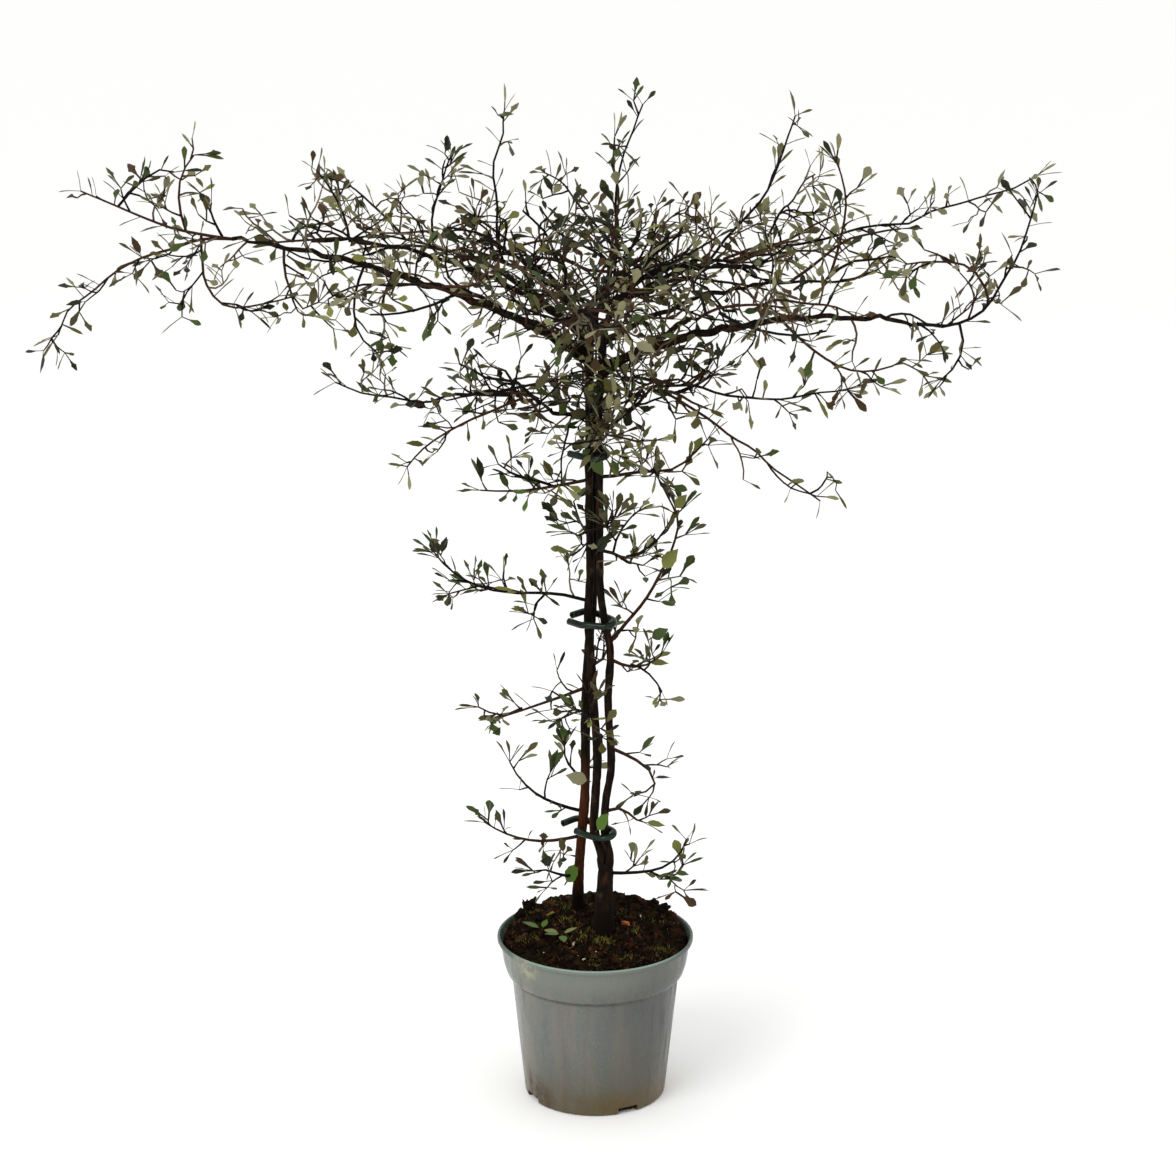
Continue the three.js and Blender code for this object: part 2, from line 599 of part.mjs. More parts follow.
// A twig that leaves a leader at the place of its index. Each further attempt turns it on round
// the leader.
function twigFrom(leader, index, key, attempt) {
  const reach = mix(RULE.twigReach[0], RULE.twigReach[1], chance(key, index, 2));
  const share = (index + 0.7) / (Math.floor(leader.getLength() / RULE.twigSpacing) + 1);
  const turn = index * RULE.goldenTurn + 6 * chance(key, index, 3) + attempt * RULE.nextTurn;
  const start = leader.getPoint(share);
  return new THREE.LineCurve3(start, start.clone().addScaledVector(
    sideways(leader, share, RULE.twigSpread, turn), reach,
  ));
}

// A leaf is a flat kite, widest past its middle and thickest near its root, which is sunk into the
// twig.
function leafSolid(root, direction, lean, sink) {
  const kite = new THREE.OctahedronGeometry(1, 0);
  const level = new THREE.Vector3().crossVectors(Math.abs(direction.z) > 0.9 ? X_AXIS : UP, direction).normalize();
  const face = new THREE.Vector3().crossVectors(direction, level);
  const across = level.clone().multiplyScalar(Math.cos(lean)).addScaledVector(face, Math.sin(lean));
  const normal = new THREE.Vector3().crossVectors(direction, across);
  const places = kite.attributes.position;
  for (let i = 0; i < places.count; i += 1) {
    const [x, y, z] = [places.getX(i), places.getY(i), places.getZ(i)];
    const middle = Math.abs(y) > 0.5 ? RULE.leafWidestAt : RULE.leafThickestAt;
    const run = Math.abs(x) > 0.5 ? (x + 1) / 2 : middle;
    const place = root.clone().addScaledVector(direction, run * RULE.leafLength - sink);
    place.addScaledVector(across, (y * RULE.leafWidth) / 2);
    place.addScaledVector(normal, (z * RULE.leafThickness) / 2);
    places.setXYZ(i, place.x, place.y, place.z);
  }
  return solidOf(kite);
}

const masses = Object.entries(MASSES).map(([name, mass], index) => ({
  name, mass, key: index + 1, arcs: [], solids: [],
}));

function keepPiece(grown, curve, radii, sides, steps) {
  grown.arcs.push(stretchesOf(curve, steps));
  grown.solids.push(tubeAlong(curve, twigRadius(radii), sides, steps));
  capsules.push(...capsulesAlong(curve, twigRadius(radii), 3, grown.name));
}

// Leaders come first in every mass, so that twigs and leaves give way to them.
for (const grown of masses) {
  leadersOf(grown.mass, grown.key).forEach((leader, place) => {
    const pieces = capsulesAlong(leader, twigRadius(RULE.leaderRadii), 3, grown.name);
    const free = isClear(place === 0 ? pieces.slice(1) : pieces, grown.name, grown.mass.on);
    if (place > 0 && !free) return;
    const radii = place === 0 ? [rootOf(grown.mass).radius, RULE.leaderRadii[1]] : RULE.leaderRadii;
    keepPiece(grown, leader, radii, place === 0 ? 4 : RULE.twigSides, RULE.leaderSteps);
  });
  grown.leaders = [...grown.arcs];
}

// Where a twig or a leaf would touch something, a few further turns are tried, and then it is
// left out.
function firstThatFits(make, fits) {
  for (let attempt = 0; attempt < RULE.attempts; attempt += 1) {
    const made = make(attempt);
    if (fits(made)) return made;
  }
  return null;
}

for (const grown of masses) {
  grown.leaders.forEach((leader, place) => {
    const count = Math.floor(leader.getLength() / RULE.twigSpacing);
    for (let i = 0; i < count; i += 1) {
      const twig = firstThatFits(
        (attempt) => twigFrom(leader, i, grown.key * 7 + place, attempt),
        ({ v1, v2 }) => isFree(v1, v2, RULE.twigRadii[0], grown.name)
          && isClear([{ a: v1, b: v2, radius: RULE.twigRadii[0] }], grown.name),
      );
      if (twig) keepPiece(grown, twig, RULE.twigRadii, RULE.twigSides, RULE.twigSteps);
    }
  });
}

function addLeaf(grown, root, lean, sink, directionOf) {
  const leaf = firstThatFits((attempt) => {
    const direction = directionOf(attempt);
    const tip = root.clone().addScaledVector(direction, RULE.leafLength);
    return { a: root, b: tip, radius: RULE.leafWidth / 2, node: grown.name, direction };
  }, (piece) => isFree(piece.a, piece.b, RULE.leafWidth / 5, grown.name) && isClear([piece], grown.name));
  if (!leaf) return;
  capsules.push(leaf);
  grown.solids.push(leafSolid(root, leaf.direction, lean, sink));
}

for (const grown of masses) {
  grown.arcs.forEach((curve, place) => {
    const key = grown.key * 11 + place;
    addLeaf(grown, curve.getPoint(1), 3 * chance(key, 5), RULE.tipSink, () => curve.getTangent(1));
    const count = Math.floor(curve.getLength() / RULE.leafSpacing);
    for (let i = 0; i < count; i += 1) {
      const share = (i + 1) / (count + 1);
      const turn = i * 2.1 + 6 * chance(key, i, 6);
      addLeaf(grown, curve.getPoint(share), 3 * chance(key, i, 7), RULE.sideSink, (attempt) => (
        sideways(curve, share, RULE.leafSpread, turn + attempt * RULE.nextTurn)
      ));
    }
  });
  const fused = grown.solids.reduce((all, one) => all.add(one));
  const cut = grown.mass.height ? fused.subtract(stemRoom) : fused;
  add(grown.name, simplified(largestPiece(cut)), twigsAndLeaves);
}

add('pot', potSolid(), potPlastic);
add('soil', soilSolid(), soilMatter);

export default plant;
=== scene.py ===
import functools
import math

import bmesh
import bpy
import numpy as np
from mathutils import Matrix, Vector, noise


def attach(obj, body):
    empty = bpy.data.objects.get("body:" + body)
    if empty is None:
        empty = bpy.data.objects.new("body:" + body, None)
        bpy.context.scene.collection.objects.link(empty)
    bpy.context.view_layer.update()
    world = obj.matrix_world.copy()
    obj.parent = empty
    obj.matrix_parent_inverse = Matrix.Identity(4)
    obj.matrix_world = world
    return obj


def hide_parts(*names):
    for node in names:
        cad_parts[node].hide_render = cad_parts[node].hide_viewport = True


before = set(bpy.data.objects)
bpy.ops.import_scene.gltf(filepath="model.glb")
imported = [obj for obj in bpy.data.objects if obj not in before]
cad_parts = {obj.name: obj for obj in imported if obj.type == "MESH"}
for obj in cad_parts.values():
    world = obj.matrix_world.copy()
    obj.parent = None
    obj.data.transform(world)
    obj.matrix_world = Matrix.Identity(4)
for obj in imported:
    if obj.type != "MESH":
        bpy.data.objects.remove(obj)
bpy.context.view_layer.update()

# The view and the room: a long lens a little above the crown looks slightly down on the bush.
# It stands on a wide pale floor, under an even pale sky with one large soft light from the
# upper left.
def linked(name, data):
    """A new object, linked into the scene."""
    made = bpy.data.objects.new(name, data)
    bpy.context.scene.collection.objects.link(made)
    return made


camera = linked("camera", bpy.data.cameras.new("camera"))
camera.data.sensor_width = 36.0
camera.data.lens = 88.04
camera.location = (-0.007, -2.600, 1.234)
camera.rotation_euler = (math.radians(74.42), 0.0, 0.0)
bpy.context.scene.camera = camera
bpy.context.scene.view_settings.view_transform = "Standard"


def paint(code):
    """A colour written as on screen, for a shader."""
    parts = [int(code[place:place + 2], 16) / 255 for place in (1, 3, 5)]
    return (*(part / 12.92 if part <= 0.04045 else ((part + 0.055) / 1.055) ** 2.4 for part in parts), 1.0)


def finish(name, colour, roughness, **sockets):
    """A material with the shader's plain values set."""
    material = bpy.data.materials.new(name)
    material.use_nodes = True
    shader = material.node_tree.nodes["Principled BSDF"]
    shader.inputs["Base Color"].default_value = paint(colour)
    shader.inputs["Roughness"].default_value = roughness
    for label, value in sockets.items():
        shader.inputs[label.replace("_", " ")].default_value = value
    return material


FLOOR_REACH = 45.0
FLOOR_DROP = 0.0005
floor_mesh = bpy.data.meshes.new("floor")
floor_mesh.from_pydata(
    [(x * FLOOR_REACH, y * FLOOR_REACH, -FLOOR_DROP) for x, y in ((-1, -1), (1, -1), (1, 1), (-1, 1))],
    [], [(0, 1, 2, 3)],
)
floor_mesh.materials.append(finish("floor_pale", "#fefefd", 0.9))
linked("floor", floor_mesh)

world = bpy.data.worlds.new("pale_sky")
world.use_nodes = True
world.node_tree.nodes["Background"].inputs["Color"].default_value = (1.0, 1.0, 0.992, 1.0)
world.node_tree.nodes["Background"].inputs["Strength"].default_value = 1.0
bpy.context.scene.world = world

soft_light = linked("soft_light", bpy.data.lights.new("soft_light", "AREA"))
soft_light.data.shape = "DISK"
soft_light.data.size = 1.8
soft_light.data.energy = 40.0
soft_light.location = (-1.5, -1.9, 2.5)
soft_light.rotation_euler = (Vector((0, 0, 0.5)) - soft_light.location).to_track_quat("-Z", "Y").to_euler()

# The pot: thin grey moulded plastic with a rolled lip, a deep band with a rounded foot under it,
# a tapered body and notches round the foot of the wall. Its lip is a little greener, its base is
# stained and its side has faint upright streaks. Shade is painted on the side away from the light,
# under the band's foot and round the lip away from its front, and a highlight along its front edge.
POT_OUTLINE = (
    # radius, height and the size of the rounding there, up the outside and down the inside
    (0.0, 0.0, 0.0), (68.5, 0.0, 1.6), (81.0, 121.0, 1.4), (85.4, 124.0, 3.0), (89.0, 135.0, 5.0),
    (92.0, 156.3, 0.6), (95.0, 157.2, 0.5), (95.0, 161.0, 1.3), (92.6, 161.0, 0.7), (91.2, 158.4, 1.2),
    (90.2, 156.0, 1.0), (87.2, 135.4, 4.0), (83.8, 126.0, 3.0), (79.2, 121.6, 1.6), (66.7, 2.2, 1.5),
    (0.0, 2.2, 0.0),
)
POT_SIDES = 144
POT_CREASE = 42
ROUNDING_STEPS = 4
ROUNDING_ROOM = 0.45
NOTCH = dict(count=4, width=21.0, height=6.5, bevel=1.2, below=3.0, radius=68.5, depth=9.0, turn=0.48)


def curved(start, via, end, count):
    """Points on the simple curve from start to end that leans towards via."""
    share = np.linspace(0, 1, count)[:, None]
    return (1 - share) ** 2 * start + 2 * share * (1 - share) * via + share ** 2 * end


def rounded(outline):
    """The points of an outline whose corners are rounded off by their given sizes."""
    points = []
    for place, (*corner, size) in enumerate(outline):
        if not size:
            points.append(corner)
            continue
        ends = []
        for beside in (outline[place - 1], outline[place + 1]):
            side = np.subtract(beside[:2], corner)
            reach = np.linalg.norm(side)
            ends.append(corner + side / reach * min(size, ROUNDING_ROOM * reach))
        points.extend(curved(ends[0], np.array(corner), ends[1], ROUNDING_STEPS))
    return points


def turned(name, profile, sides):
    """A closed solid turned about the upright axis from a profile that starts and ends on it."""
    corners = [(0.0, 0.0, profile[0][1])]
    faces = []
    turns = np.arange(sides) * 2 * math.pi / sides
    for radius, height in profile[1:-1]:
        corners.extend(zip(radius * np.cos(turns), radius * np.sin(turns), np.full(sides, height)))
    corners.append((0.0, 0.0, profile[-1][1]))
    rings = len(profile) - 2
    for side in range(sides):
        after = (side + 1) % sides
        faces.append((0, 1 + after, 1 + side))
        for ring in range(rings - 1):
            low, high = 1 + ring * sides, 1 + (ring + 1) * sides
            faces.append((low + side, low + after, high + after, high + side))
        last = 1 + (rings - 1) * sides
        faces.append((last + side, last + after, len(corners) - 1))
    mesh = bpy.data.meshes.new(name)
    mesh.from_pydata([tuple(0.001 * value for value in corner) for corner in corners], [], faces)
    return mesh


def smoothed(mesh, crease=None):
    """Smooths a mesh. Edges where its faces meet at more than so many degrees stay sharp."""
    mesh.polygons.foreach_set("use_smooth", [True] * len(mesh.polygons))
    if crease:
        mesh.set_sharp_from_angle(angle=math.radians(crease))


def place_piece(name, mesh, materials, replaced):
    """A finished piece at the origin that rides on the body and stands for nodes of the frame."""
    for material in materials:
        if material.name not in mesh.materials:
            mesh.materials.append(material)
    piece = linked(name, mesh)
    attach(piece, "root")
    if replaced:
        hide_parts(*replaced)


def settled(source, name):
    """The mesh that an object's modifiers make. The object and its own mesh are then removed."""
    before = source.data
    mesh = bpy.data.meshes.new_from_object(source.evaluated_get(bpy.context.evaluated_depsgraph_get()))
    mesh.name = name
    bpy.data.objects.remove(source)
    bpy.data.meshes.remove(before)
    return mesh


def notch_cutter():
    """Blocks with bevelled tops, one at each notch, as one object."""
    corners, faces = [], []
    half, high, low, bevel = NOTCH["width"] / 2, NOTCH["height"], -NOTCH["below"], NOTCH["bevel"]
    arch = [(-half, low), (half, low), (half, high - bevel), (half - bevel, high), (bevel - half, high),
            (-half, high - bevel)]
    count = len(arch)
    for notch in range(NOTCH["count"]):
        turn = 2 * math.pi * notch / NOTCH["count"] + NOTCH["turn"]
        start = len(corners)
        for radius in (NOTCH["radius"] - NOTCH["depth"], NOTCH["radius"] + NOTCH["depth"]):
            for across, height in arch:
                x = radius * math.cos(turn) - across * math.sin(turn)
                y = radius * math.sin(turn) + across * math.cos(turn)
                corners.append((0.001 * x, 0.001 * y, 0.001 * height))
        faces.append(tuple(start + place for place in reversed(range(count))))
        faces.append(tuple(start + count + place for place in range(count)))
        for place in range(count):
            after = (place + 1) % count
            faces.append((start + place, start + after, start + count + after, start + count + place))
    mesh = bpy.data.meshes.new("notches")
    mesh.from_pydata(corners, [], faces)
    return bpy.data.objects.new("notches", mesh)


def put(tree, kind, inputs=None, **settings):
    """The outputs of a new node. An input takes a value, a screen code or another node's output."""
    node = tree.nodes.new(kind)
    for label, value in settings.items():
        setattr(node, label, value)
    for place, value in (inputs or {}).items():
        if isinstance(value, bpy.types.NodeSocket):
            tree.links.new(value, node.inputs[place])
        else:
            coded = isinstance(value, str) and value.startswith("#")
            node.inputs[place].default_value = paint(value) if coded else value
    return node.outputs


def new_tree(name, kind, inputs, outputs):
    """A node tree with named sockets, and the outputs of its input node."""
    tree = bpy.data.node_groups.new(name, kind)
    for in_out, sockets in (("INPUT", inputs), ("OUTPUT", outputs)):
        for label, socket in sockets.items():
            tree.interface.new_socket(label, in_out=in_out, socket_type="NodeSocket" + socket)
    return tree, put(tree, "NodeGroupInput")


def reckoned(tree, operation, one, other=0.5):
    return put(tree, "ShaderNodeMath", {0: one, 1: other}, operation=operation)["Value"]


def times(tree, one, other):
    return reckoned(tree, "MULTIPLY", one, other)


def graded(tree, value, low, high):
    """A number from 0 to 1 that rises smoothly between two values, or falls if they are swapped."""
    return put(tree, "ShaderNodeMapRange", {"Value": value, "From Min": low, "From Max": high},
               interpolation_type="SMOOTHSTEP")["Result"]


def between(tree, value, low, low_full, high_full, high):
    """A mask that rises from 0 to 1 at the low values and falls back to 0 at the high ones."""
    return times(tree, graded(tree, value, low, low_full), graded(tree, value, high, high_full))


def near(tree, vector, spot, inner, outer):
    """A mask that is 1 within a distance of a spot on the piece and fades out to a further one."""
    apart = put(tree, "ShaderNodeVectorMath", {0: vector, 1: spot}, operation="DISTANCE")["Value"]
    return graded(tree, apart, outer, inner)


def coated(tree, colour, *coats):
    """A colour with others laid over it in turn, each through its mask."""
    for mask, over in coats:
        colour = put(tree, "ShaderNodeMix", {0: mask, 6: colour, 7: over}, data_type="RGBA")[2]
    return colour


# The blotches that the pot, the bark, the ties and the soil share: two colours in soft patches.
blotches, given = new_tree(
    "blotches", "ShaderNodeTree",
    dict(Vector="Vector", Scale="Float", Low="Float", High="Float", Plain="Color", Blotch="Color"),
    dict(Colour="Color", Mask="Float"))
cloud = put(blotches, "ShaderNodeTexNoise", {
    "Vector": given["Vector"], "Scale": given["Scale"], "Detail": 5.0, "Roughness": 0.62})
patch = graded(blotches, cloud["Fac"], given["Low"], given["High"])
put(blotches, "NodeGroupOutput", {
    "Colour": coated(blotches, given["Plain"], (patch, given["Blotch"])), "Mask": patch})


def blotched(tree, vector, scale, low, high, plain="#000000", blotch="#ffffff"):
    """The colour and mask of the shared blotches, placed in a material."""
    return put(tree, "ShaderNodeGroup", {
        "Vector": vector, "Scale": scale, "Low": low, "High": high, "Plain": plain, "Blotch": blotch},
        node_tree=blotches)


def bumped(tree, height, strength, distance):
    return put(tree, "ShaderNodeBump", {
        "Height": height, "Strength": strength, "Distance": distance})["Normal"]


def textured(name, colour, roughness, **sockets):
    """A material as finish makes it, its tree and the piece's own coordinates in the tree."""
    material = finish(name, colour, roughness, **sockets)
    return material, material.node_tree, put(material.node_tree, "ShaderNodeTexCoord")["Object"]


def feed(tree, **sockets):
    """Joins outputs of nodes to the shader of a material."""
    for label, value in sockets.items():
        tree.links.new(value, tree.nodes["Principled BSDF"].inputs[label.replace("_", " ")])


pot_plastic, tree, place = textured("pot_plastic", "#737771", 0.5, Specular_IOR_Level=0.4)
side, depth, height = put(tree, "ShaderNodeSeparateXYZ", {"Vector": place})
upright = put(tree, "ShaderNodeMapping", {"Vector": place, "Scale": (1.0, 1.0, 0.06)})["Vector"]
base = blotched(tree, upright, 52.0, 0.40, 0.60, "#69655e", "#5a605d")
streaks = blotched(tree, upright, 120.0, 0.42, 0.76, base["Colour"], "#5b5a57")
speckle = blotched(tree, place, 700.0, 0.5, 0.66, streaks["Colour"], "#6e706a")
front = graded(tree, depth, -0.035, -0.080)


def dirt(mask, scale, low, high):
    """A mask on the pot that holds only where blotches of dirt fall."""
    return times(tree, mask, blotched(tree, place, scale, low, high)["Mask"])


pot_colour = coated(
    tree, speckle["Colour"],
    # painted shade on the side away from the light and under the band's foot, and the greener band, with
    # painted light on it that fades towards the shaded side
    (graded(tree, side, -0.030, 0.095), "#3d3f3c"),
    (between(tree, height, 0.1178, 0.1205, 0.1212, 0.1236), "#43433f"),
    (times(tree, graded(tree, height, 0.122, 0.150), graded(tree, side, 0.13, -0.02)), "#686d65"),
    # painted shade on the lip's wall away from its front, and on its edge painted shade away from the front
    # with a painted highlight along the front
    (times(tree, graded(tree, height, 0.1562, 0.1574), graded(tree, front, 0.6, 0.2)), "#3c4a43"),
    (graded(tree, height, 0.1596, 0.1604), coated(tree, "#3c4c44", (front, "#7c9187"))),
    # dust under the lip, the body darker and browner towards the bottom, stains on the base, a rusty patch
    # and one pale spot
    (dirt(near(tree, place, (-0.064, -0.062, 0.152), 0.004, 0.020), 160.0, 0.40, 0.58), "#8f8e72"),
    (graded(tree, height, 0.090, -0.050), "#4b401f"),
    (dirt(graded(tree, height, 0.036, 0.002), 40.0, 0.36, 0.62), "#534118"),
    (dirt(near(tree, place, (-0.057, -0.040, 0.010), 0.008, 0.030), 130.0, 0.32, 0.56), "#3a2608"),
    (near(tree, place, (-0.027, -0.0805, 0.128), 0.0010, 0.0018), "#dfe2de"),
)
feed(tree, Base_Color=pot_colour, Roughness=graded(tree, streaks["Mask"], -1.2, 2.6),
     Normal=bumped(tree, speckle["Mask"], 0.25, 0.0003))

pot_blank = linked("pot_blank", turned("pot_blank", rounded(POT_OUTLINE), POT_SIDES))
cutter = notch_cutter()
cut = pot_blank.modifiers.new("notches", "BOOLEAN")
cut.operation, cut.solver, cut.object = "DIFFERENCE", "EXACT", cutter
pot_mesh = settled(pot_blank, "grown_pot")
bpy.data.objects.remove(cutter)
smoothed(pot_mesh, POT_CREASE)
place_piece("nursery_pot", pot_mesh, [pot_plastic], ["pot"])

# The soil: dark, crumbly and domed, a little below the lip. It has lumps all over, red-brown
# bark chips, olive moss, a few pale grains and two small seedlings, all sunk into its top.
SOIL = dict(edge_height=153.0, dome_radius=92.0, dome_rise=16.0, back_rise=12.0, lump_height=2.6,
            edge_radius=88.0, bank_height=4.5, bank_turn=0.9, rings=44, sides=150,
            crumb_sizes=(9.0, 4.1, 1.9), crumb_heights=(4.4, 2.8, 1.3), waves=(0.13, 0.17, 0.23))
POT_INSIDE = ((66.0, 2.6), (78.2, 117.4), (83.0, 126.4), (86.2, 136.0), (87.0, 139.0))
TOP_MARK = 200.0


def soil_level(x, y):
    """The height of the plain mound at a place."""
    out, back = math.hypot(x, y) / SOIL["dome_radius"], y / SOIL["dome_radius"]
    dome = SOIL["edge_height"] + SOIL["dome_rise"] * (1 - out * out) + SOIL["back_rise"] * back
    over, along, across = SOIL["waves"]
    lumps = math.sin(x * over + 1.2) * math.cos(y * along) + math.sin((x + y) * across) * 0.6
    return dome + SOIL["lump_height"] * lumps * min(1.0, 4 * (1 - out))


def soil_top(x, y):
    """The mound with its crumbs, in three sizes, and its bank against the far right of the wall."""
    spot = Vector((x, y, 0.0))
    coarse, middle, fine = (
        high * noise.noise(spot / size) for size, high in zip(SOIL["crumb_sizes"], SOIL["crumb_heights"]))
    facing = max(0.0, math.cos(math.atan2(y, x) - SOIL["bank_turn"]))
    banked = SOIL["bank_height"] * facing * min(1.0, math.hypot(x, y) / SOIL["edge_radius"]) ** 3
    return soil_level(x, y) + (coarse + middle + abs(fine)) + banked


soil_matter, tree, place = textured("soil_matter", "#2a1d15", 0.95, Specular_IOR_Level=0.04)
earth = blotched(tree, place, 260.0, 0.40, 0.62, "#080503", "#1e130b")
reddish = blotched(tree, place, 75.0, 0.50, 0.64, earth["Colour"], "#331c10")
mossy = blotched(tree, place, 48.0, 0.54, 0.66, reddish["Colour"], "#26270f")
feed(tree, Base_Color=mossy["Colour"], Normal=bumped(tree, earth["Mask"], 0.8, 0.0015))

radii = [SOIL["edge_radius"] * (1 - ring / SOIL["rings"]) for ring in range(SOIL["rings"] + 1)]
profile = [(0.0, POT_INSIDE[0][1]), *POT_INSIDE, *((radius, TOP_MARK) for radius in radii)]
soil_mesh = turned("grown_soil", profile, SOIL["sides"])
for corner in soil_mesh.vertices:
    if corner.co.z > 0.0009 * TOP_MARK:
        corner.co.z = 0.001 * soil_top(1000 * corner.co.x, 1000 * corner.co.y)
place_piece("soil_mound", soil_mesh, [soil_matter], ["soil"])


# Litter is scattered over the top of the soil: each run of this tree strews one kind of crumb,
# chip, grain or moss thread, turned at random and roughened.
def put_out(tree, geometry, material):
    """Ends a geometry tree with real geometry in its material."""
    real = put(tree, "GeometryNodeRealizeInstances", {"Geometry": geometry})
    dressed = put(tree, "GeometryNodeSetMaterial", {"Geometry": real["Geometry"], "Material": material})
    put(tree, "NodeGroupOutput", {"Geometry": dressed["Geometry"]})


litter, given = new_tree(
    "litter", "GeometryNodeTree",
    dict(Geometry="Geometry", Density="Float", Patches="Float", Threads="Bool", Smallest="Vector",
         Largest="Vector", Roughness="Float", Seed="Int", Material="Material"),
    dict(Geometry="Geometry"))
patchy = put(litter, "ShaderNodeTexNoise", {"Scale": 30.0, "Detail": 3.0})
above = reckoned(litter, "GREATER_THAN", patchy["Fac"], given["Patches"])
strewn = put(litter, "GeometryNodeDistributePointsOnFaces", {
    "Mesh": given["Geometry"], "Density": times(litter, above, given["Density"]), "Seed": given["Seed"]})
turn, size = (
    put(litter, "FunctionNodeRandomValue", {0: least, 1: most, "Seed": given["Seed"]},
        data_type="FLOAT_VECTOR")[0]
    for least, most in (((-0.7, -0.7, 0.0), (0.7, 0.7, 6.28)), (given["Smallest"], given["Largest"])))
crumb = put(litter, "GeometryNodeMeshIcoSphere", {"Radius": 1.0, "Subdivisions": 2})
thread = put(litter, "GeometryNodeMeshCone", {
    "Vertices": 3, "Radius Top": 0.0, "Radius Bottom": 1.0, "Depth": 1.0})
either = put(litter, "GeometryNodeSwitch", {
    "Switch": given["Threads"], "False": crumb["Mesh"], "True": thread["Mesh"]}, input_type="GEOMETRY")
laid = put(litter, "GeometryNodeInstanceOnPoints", {
    "Points": strewn["Points"], "Instance": either["Output"], "Rotation": turn, "Scale": size})
real = put(litter, "GeometryNodeRealizeInstances", {"Geometry": laid["Instances"]})
ragged = put(litter, "ShaderNodeTexNoise", {"Scale": 420.0, "Detail": 2.0})
centred = put(litter, "ShaderNodeVectorMath", {0: ragged["Color"], 1: (0.5, 0.5, 0.5)},
              operation="SUBTRACT")
shift = put(litter, "ShaderNodeVectorMath", {0: centred["Vector"], "Scale": given["Roughness"]},
            operation="SCALE")
moved = put(litter, "GeometryNodeSetPosition", {"Geometry": real["Geometry"], "Offset": shift["Vector"]})
put_out(litter, moved["Geometry"], given["Material"])


def grown(name, mesh, tree, **values):
    """The mesh that a geometry tree makes of another, with the tree's inputs set to some values."""
    source = linked(name + "_source", mesh)
    run = source.modifiers.new(tree.name, "NODES")
    run.node_group = tree
    for item in tree.interface.items_tree:
        if item.in_out == "INPUT" and item.name in values:
            run[item.identifier] = values[item.name]
    return settled(source, name)


BED = dict(reach=84.0, lift=0.3, rings=12, sides=40)


def strew(name, density, smallest, largest, roughness, seed, material, patches=0.0, threads=False):
    """One kind of litter as a piece: sizes are half lengths in millimetres, or a thread's length."""
    bed = bpy.data.meshes.new(name + "_bed")
    sides, rings = BED["sides"], BED["rings"]
    spots = [(0.0, 0.0)]
    for ring in range(1, rings + 1):
        out = BED["reach"] * ring / rings
        turns = [2 * math.pi * side / sides for side in range(sides)]
        spots += [(out * math.cos(turn), out * math.sin(turn)) for turn in turns]
    after = [*range(1, sides), 0]
    faces = [(0, 1 + side, 1 + after[side]) for side in range(sides)]
    for ring in range(rings - 1):
        low, high = 1 + ring * sides, 1 + (ring + 1) * sides
        faces += [(low + side, high + side, high + after[side], low + after[side]) for side in range(sides)]
    bed.from_pydata([(0.001 * x, 0.001 * y, 0.001 * (soil_level(x, y) + BED["lift"])) for x, y in spots],
                    [], faces)
    least, most = ([0.001 * value for value in sizes] for sizes in (smallest, largest))
    mesh = grown(name, bed, litter, Density=density, Patches=patches, Threads=threads, Smallest=least,
                 Largest=most, Roughness=0.001 * roughness, Seed=seed, Material=material)
    place_piece(name, mesh, [material], [])


def crumbly(name, colour, roughness, gloss, scale, dark, light):
    """A matt material in blotches of two shades."""
    material, tree, place = textured(name, colour, roughness, Specular_IOR_Level=gloss)
    feed(tree, Base_Color=blotched(tree, place, scale, 0.38, 0.62, dark, light)["Colour"])
    return material


chip_red = crumbly("chip_red", "#5a3022", 0.85, 0.08, 300.0, "#22130a", "#4d2b16")
chip_dark = crumbly("chip_dark", "#20150f", 0.9, 0.08, 300.0, "#080503", "#1d1209")
chip_orange = crumbly("chip_orange", "#a85a2a", 0.75, 0.5, 260.0, "#7d3810", "#c4671f")
moss_green = crumbly("moss_green", "#4a4c20", 0.95, 0.05, 420.0, "#17190b", "#454517")
moss_thread = crumbly("moss_thread", "#6d6a35", 0.9, 0.1, 160.0, "#33320f", "#8a8140")
grain_pale = finish("grain_pale", "#b9b29a", 0.8)
strew("soil_crumbs", 30000.0, (0.8, 0.8, 0.6), (3.2, 2.8, 2.4), 3.4, 3, chip_dark)
strew("bark_chips", 16000.0, (1.2, 0.8, 0.5), (5.0, 2.6, 1.5), 2.6, 11, chip_red, patches=0.40)
strew("pale_grains", 900.0, (0.5, 0.5, 0.4), (1.2, 1.0, 0.8), 0.8, 23, grain_pale)
strew("moss_cushions", 12000.0, (1.6, 1.6, 0.9), (4.4, 4.0, 2.0), 3.4, 31, moss_green, patches=0.58)
strew("bark_lumps", 3600.0, (2.6, 1.6, 1.4), (6.5, 4.2, 3.4), 4.5, 41, chip_dark)
strew("moss_threads", 260000.0, (0.16, 0.16, 2.0), (0.42, 0.42, 6.5), 2.4, 37, moss_thread,
      patches=0.57, threads=True)

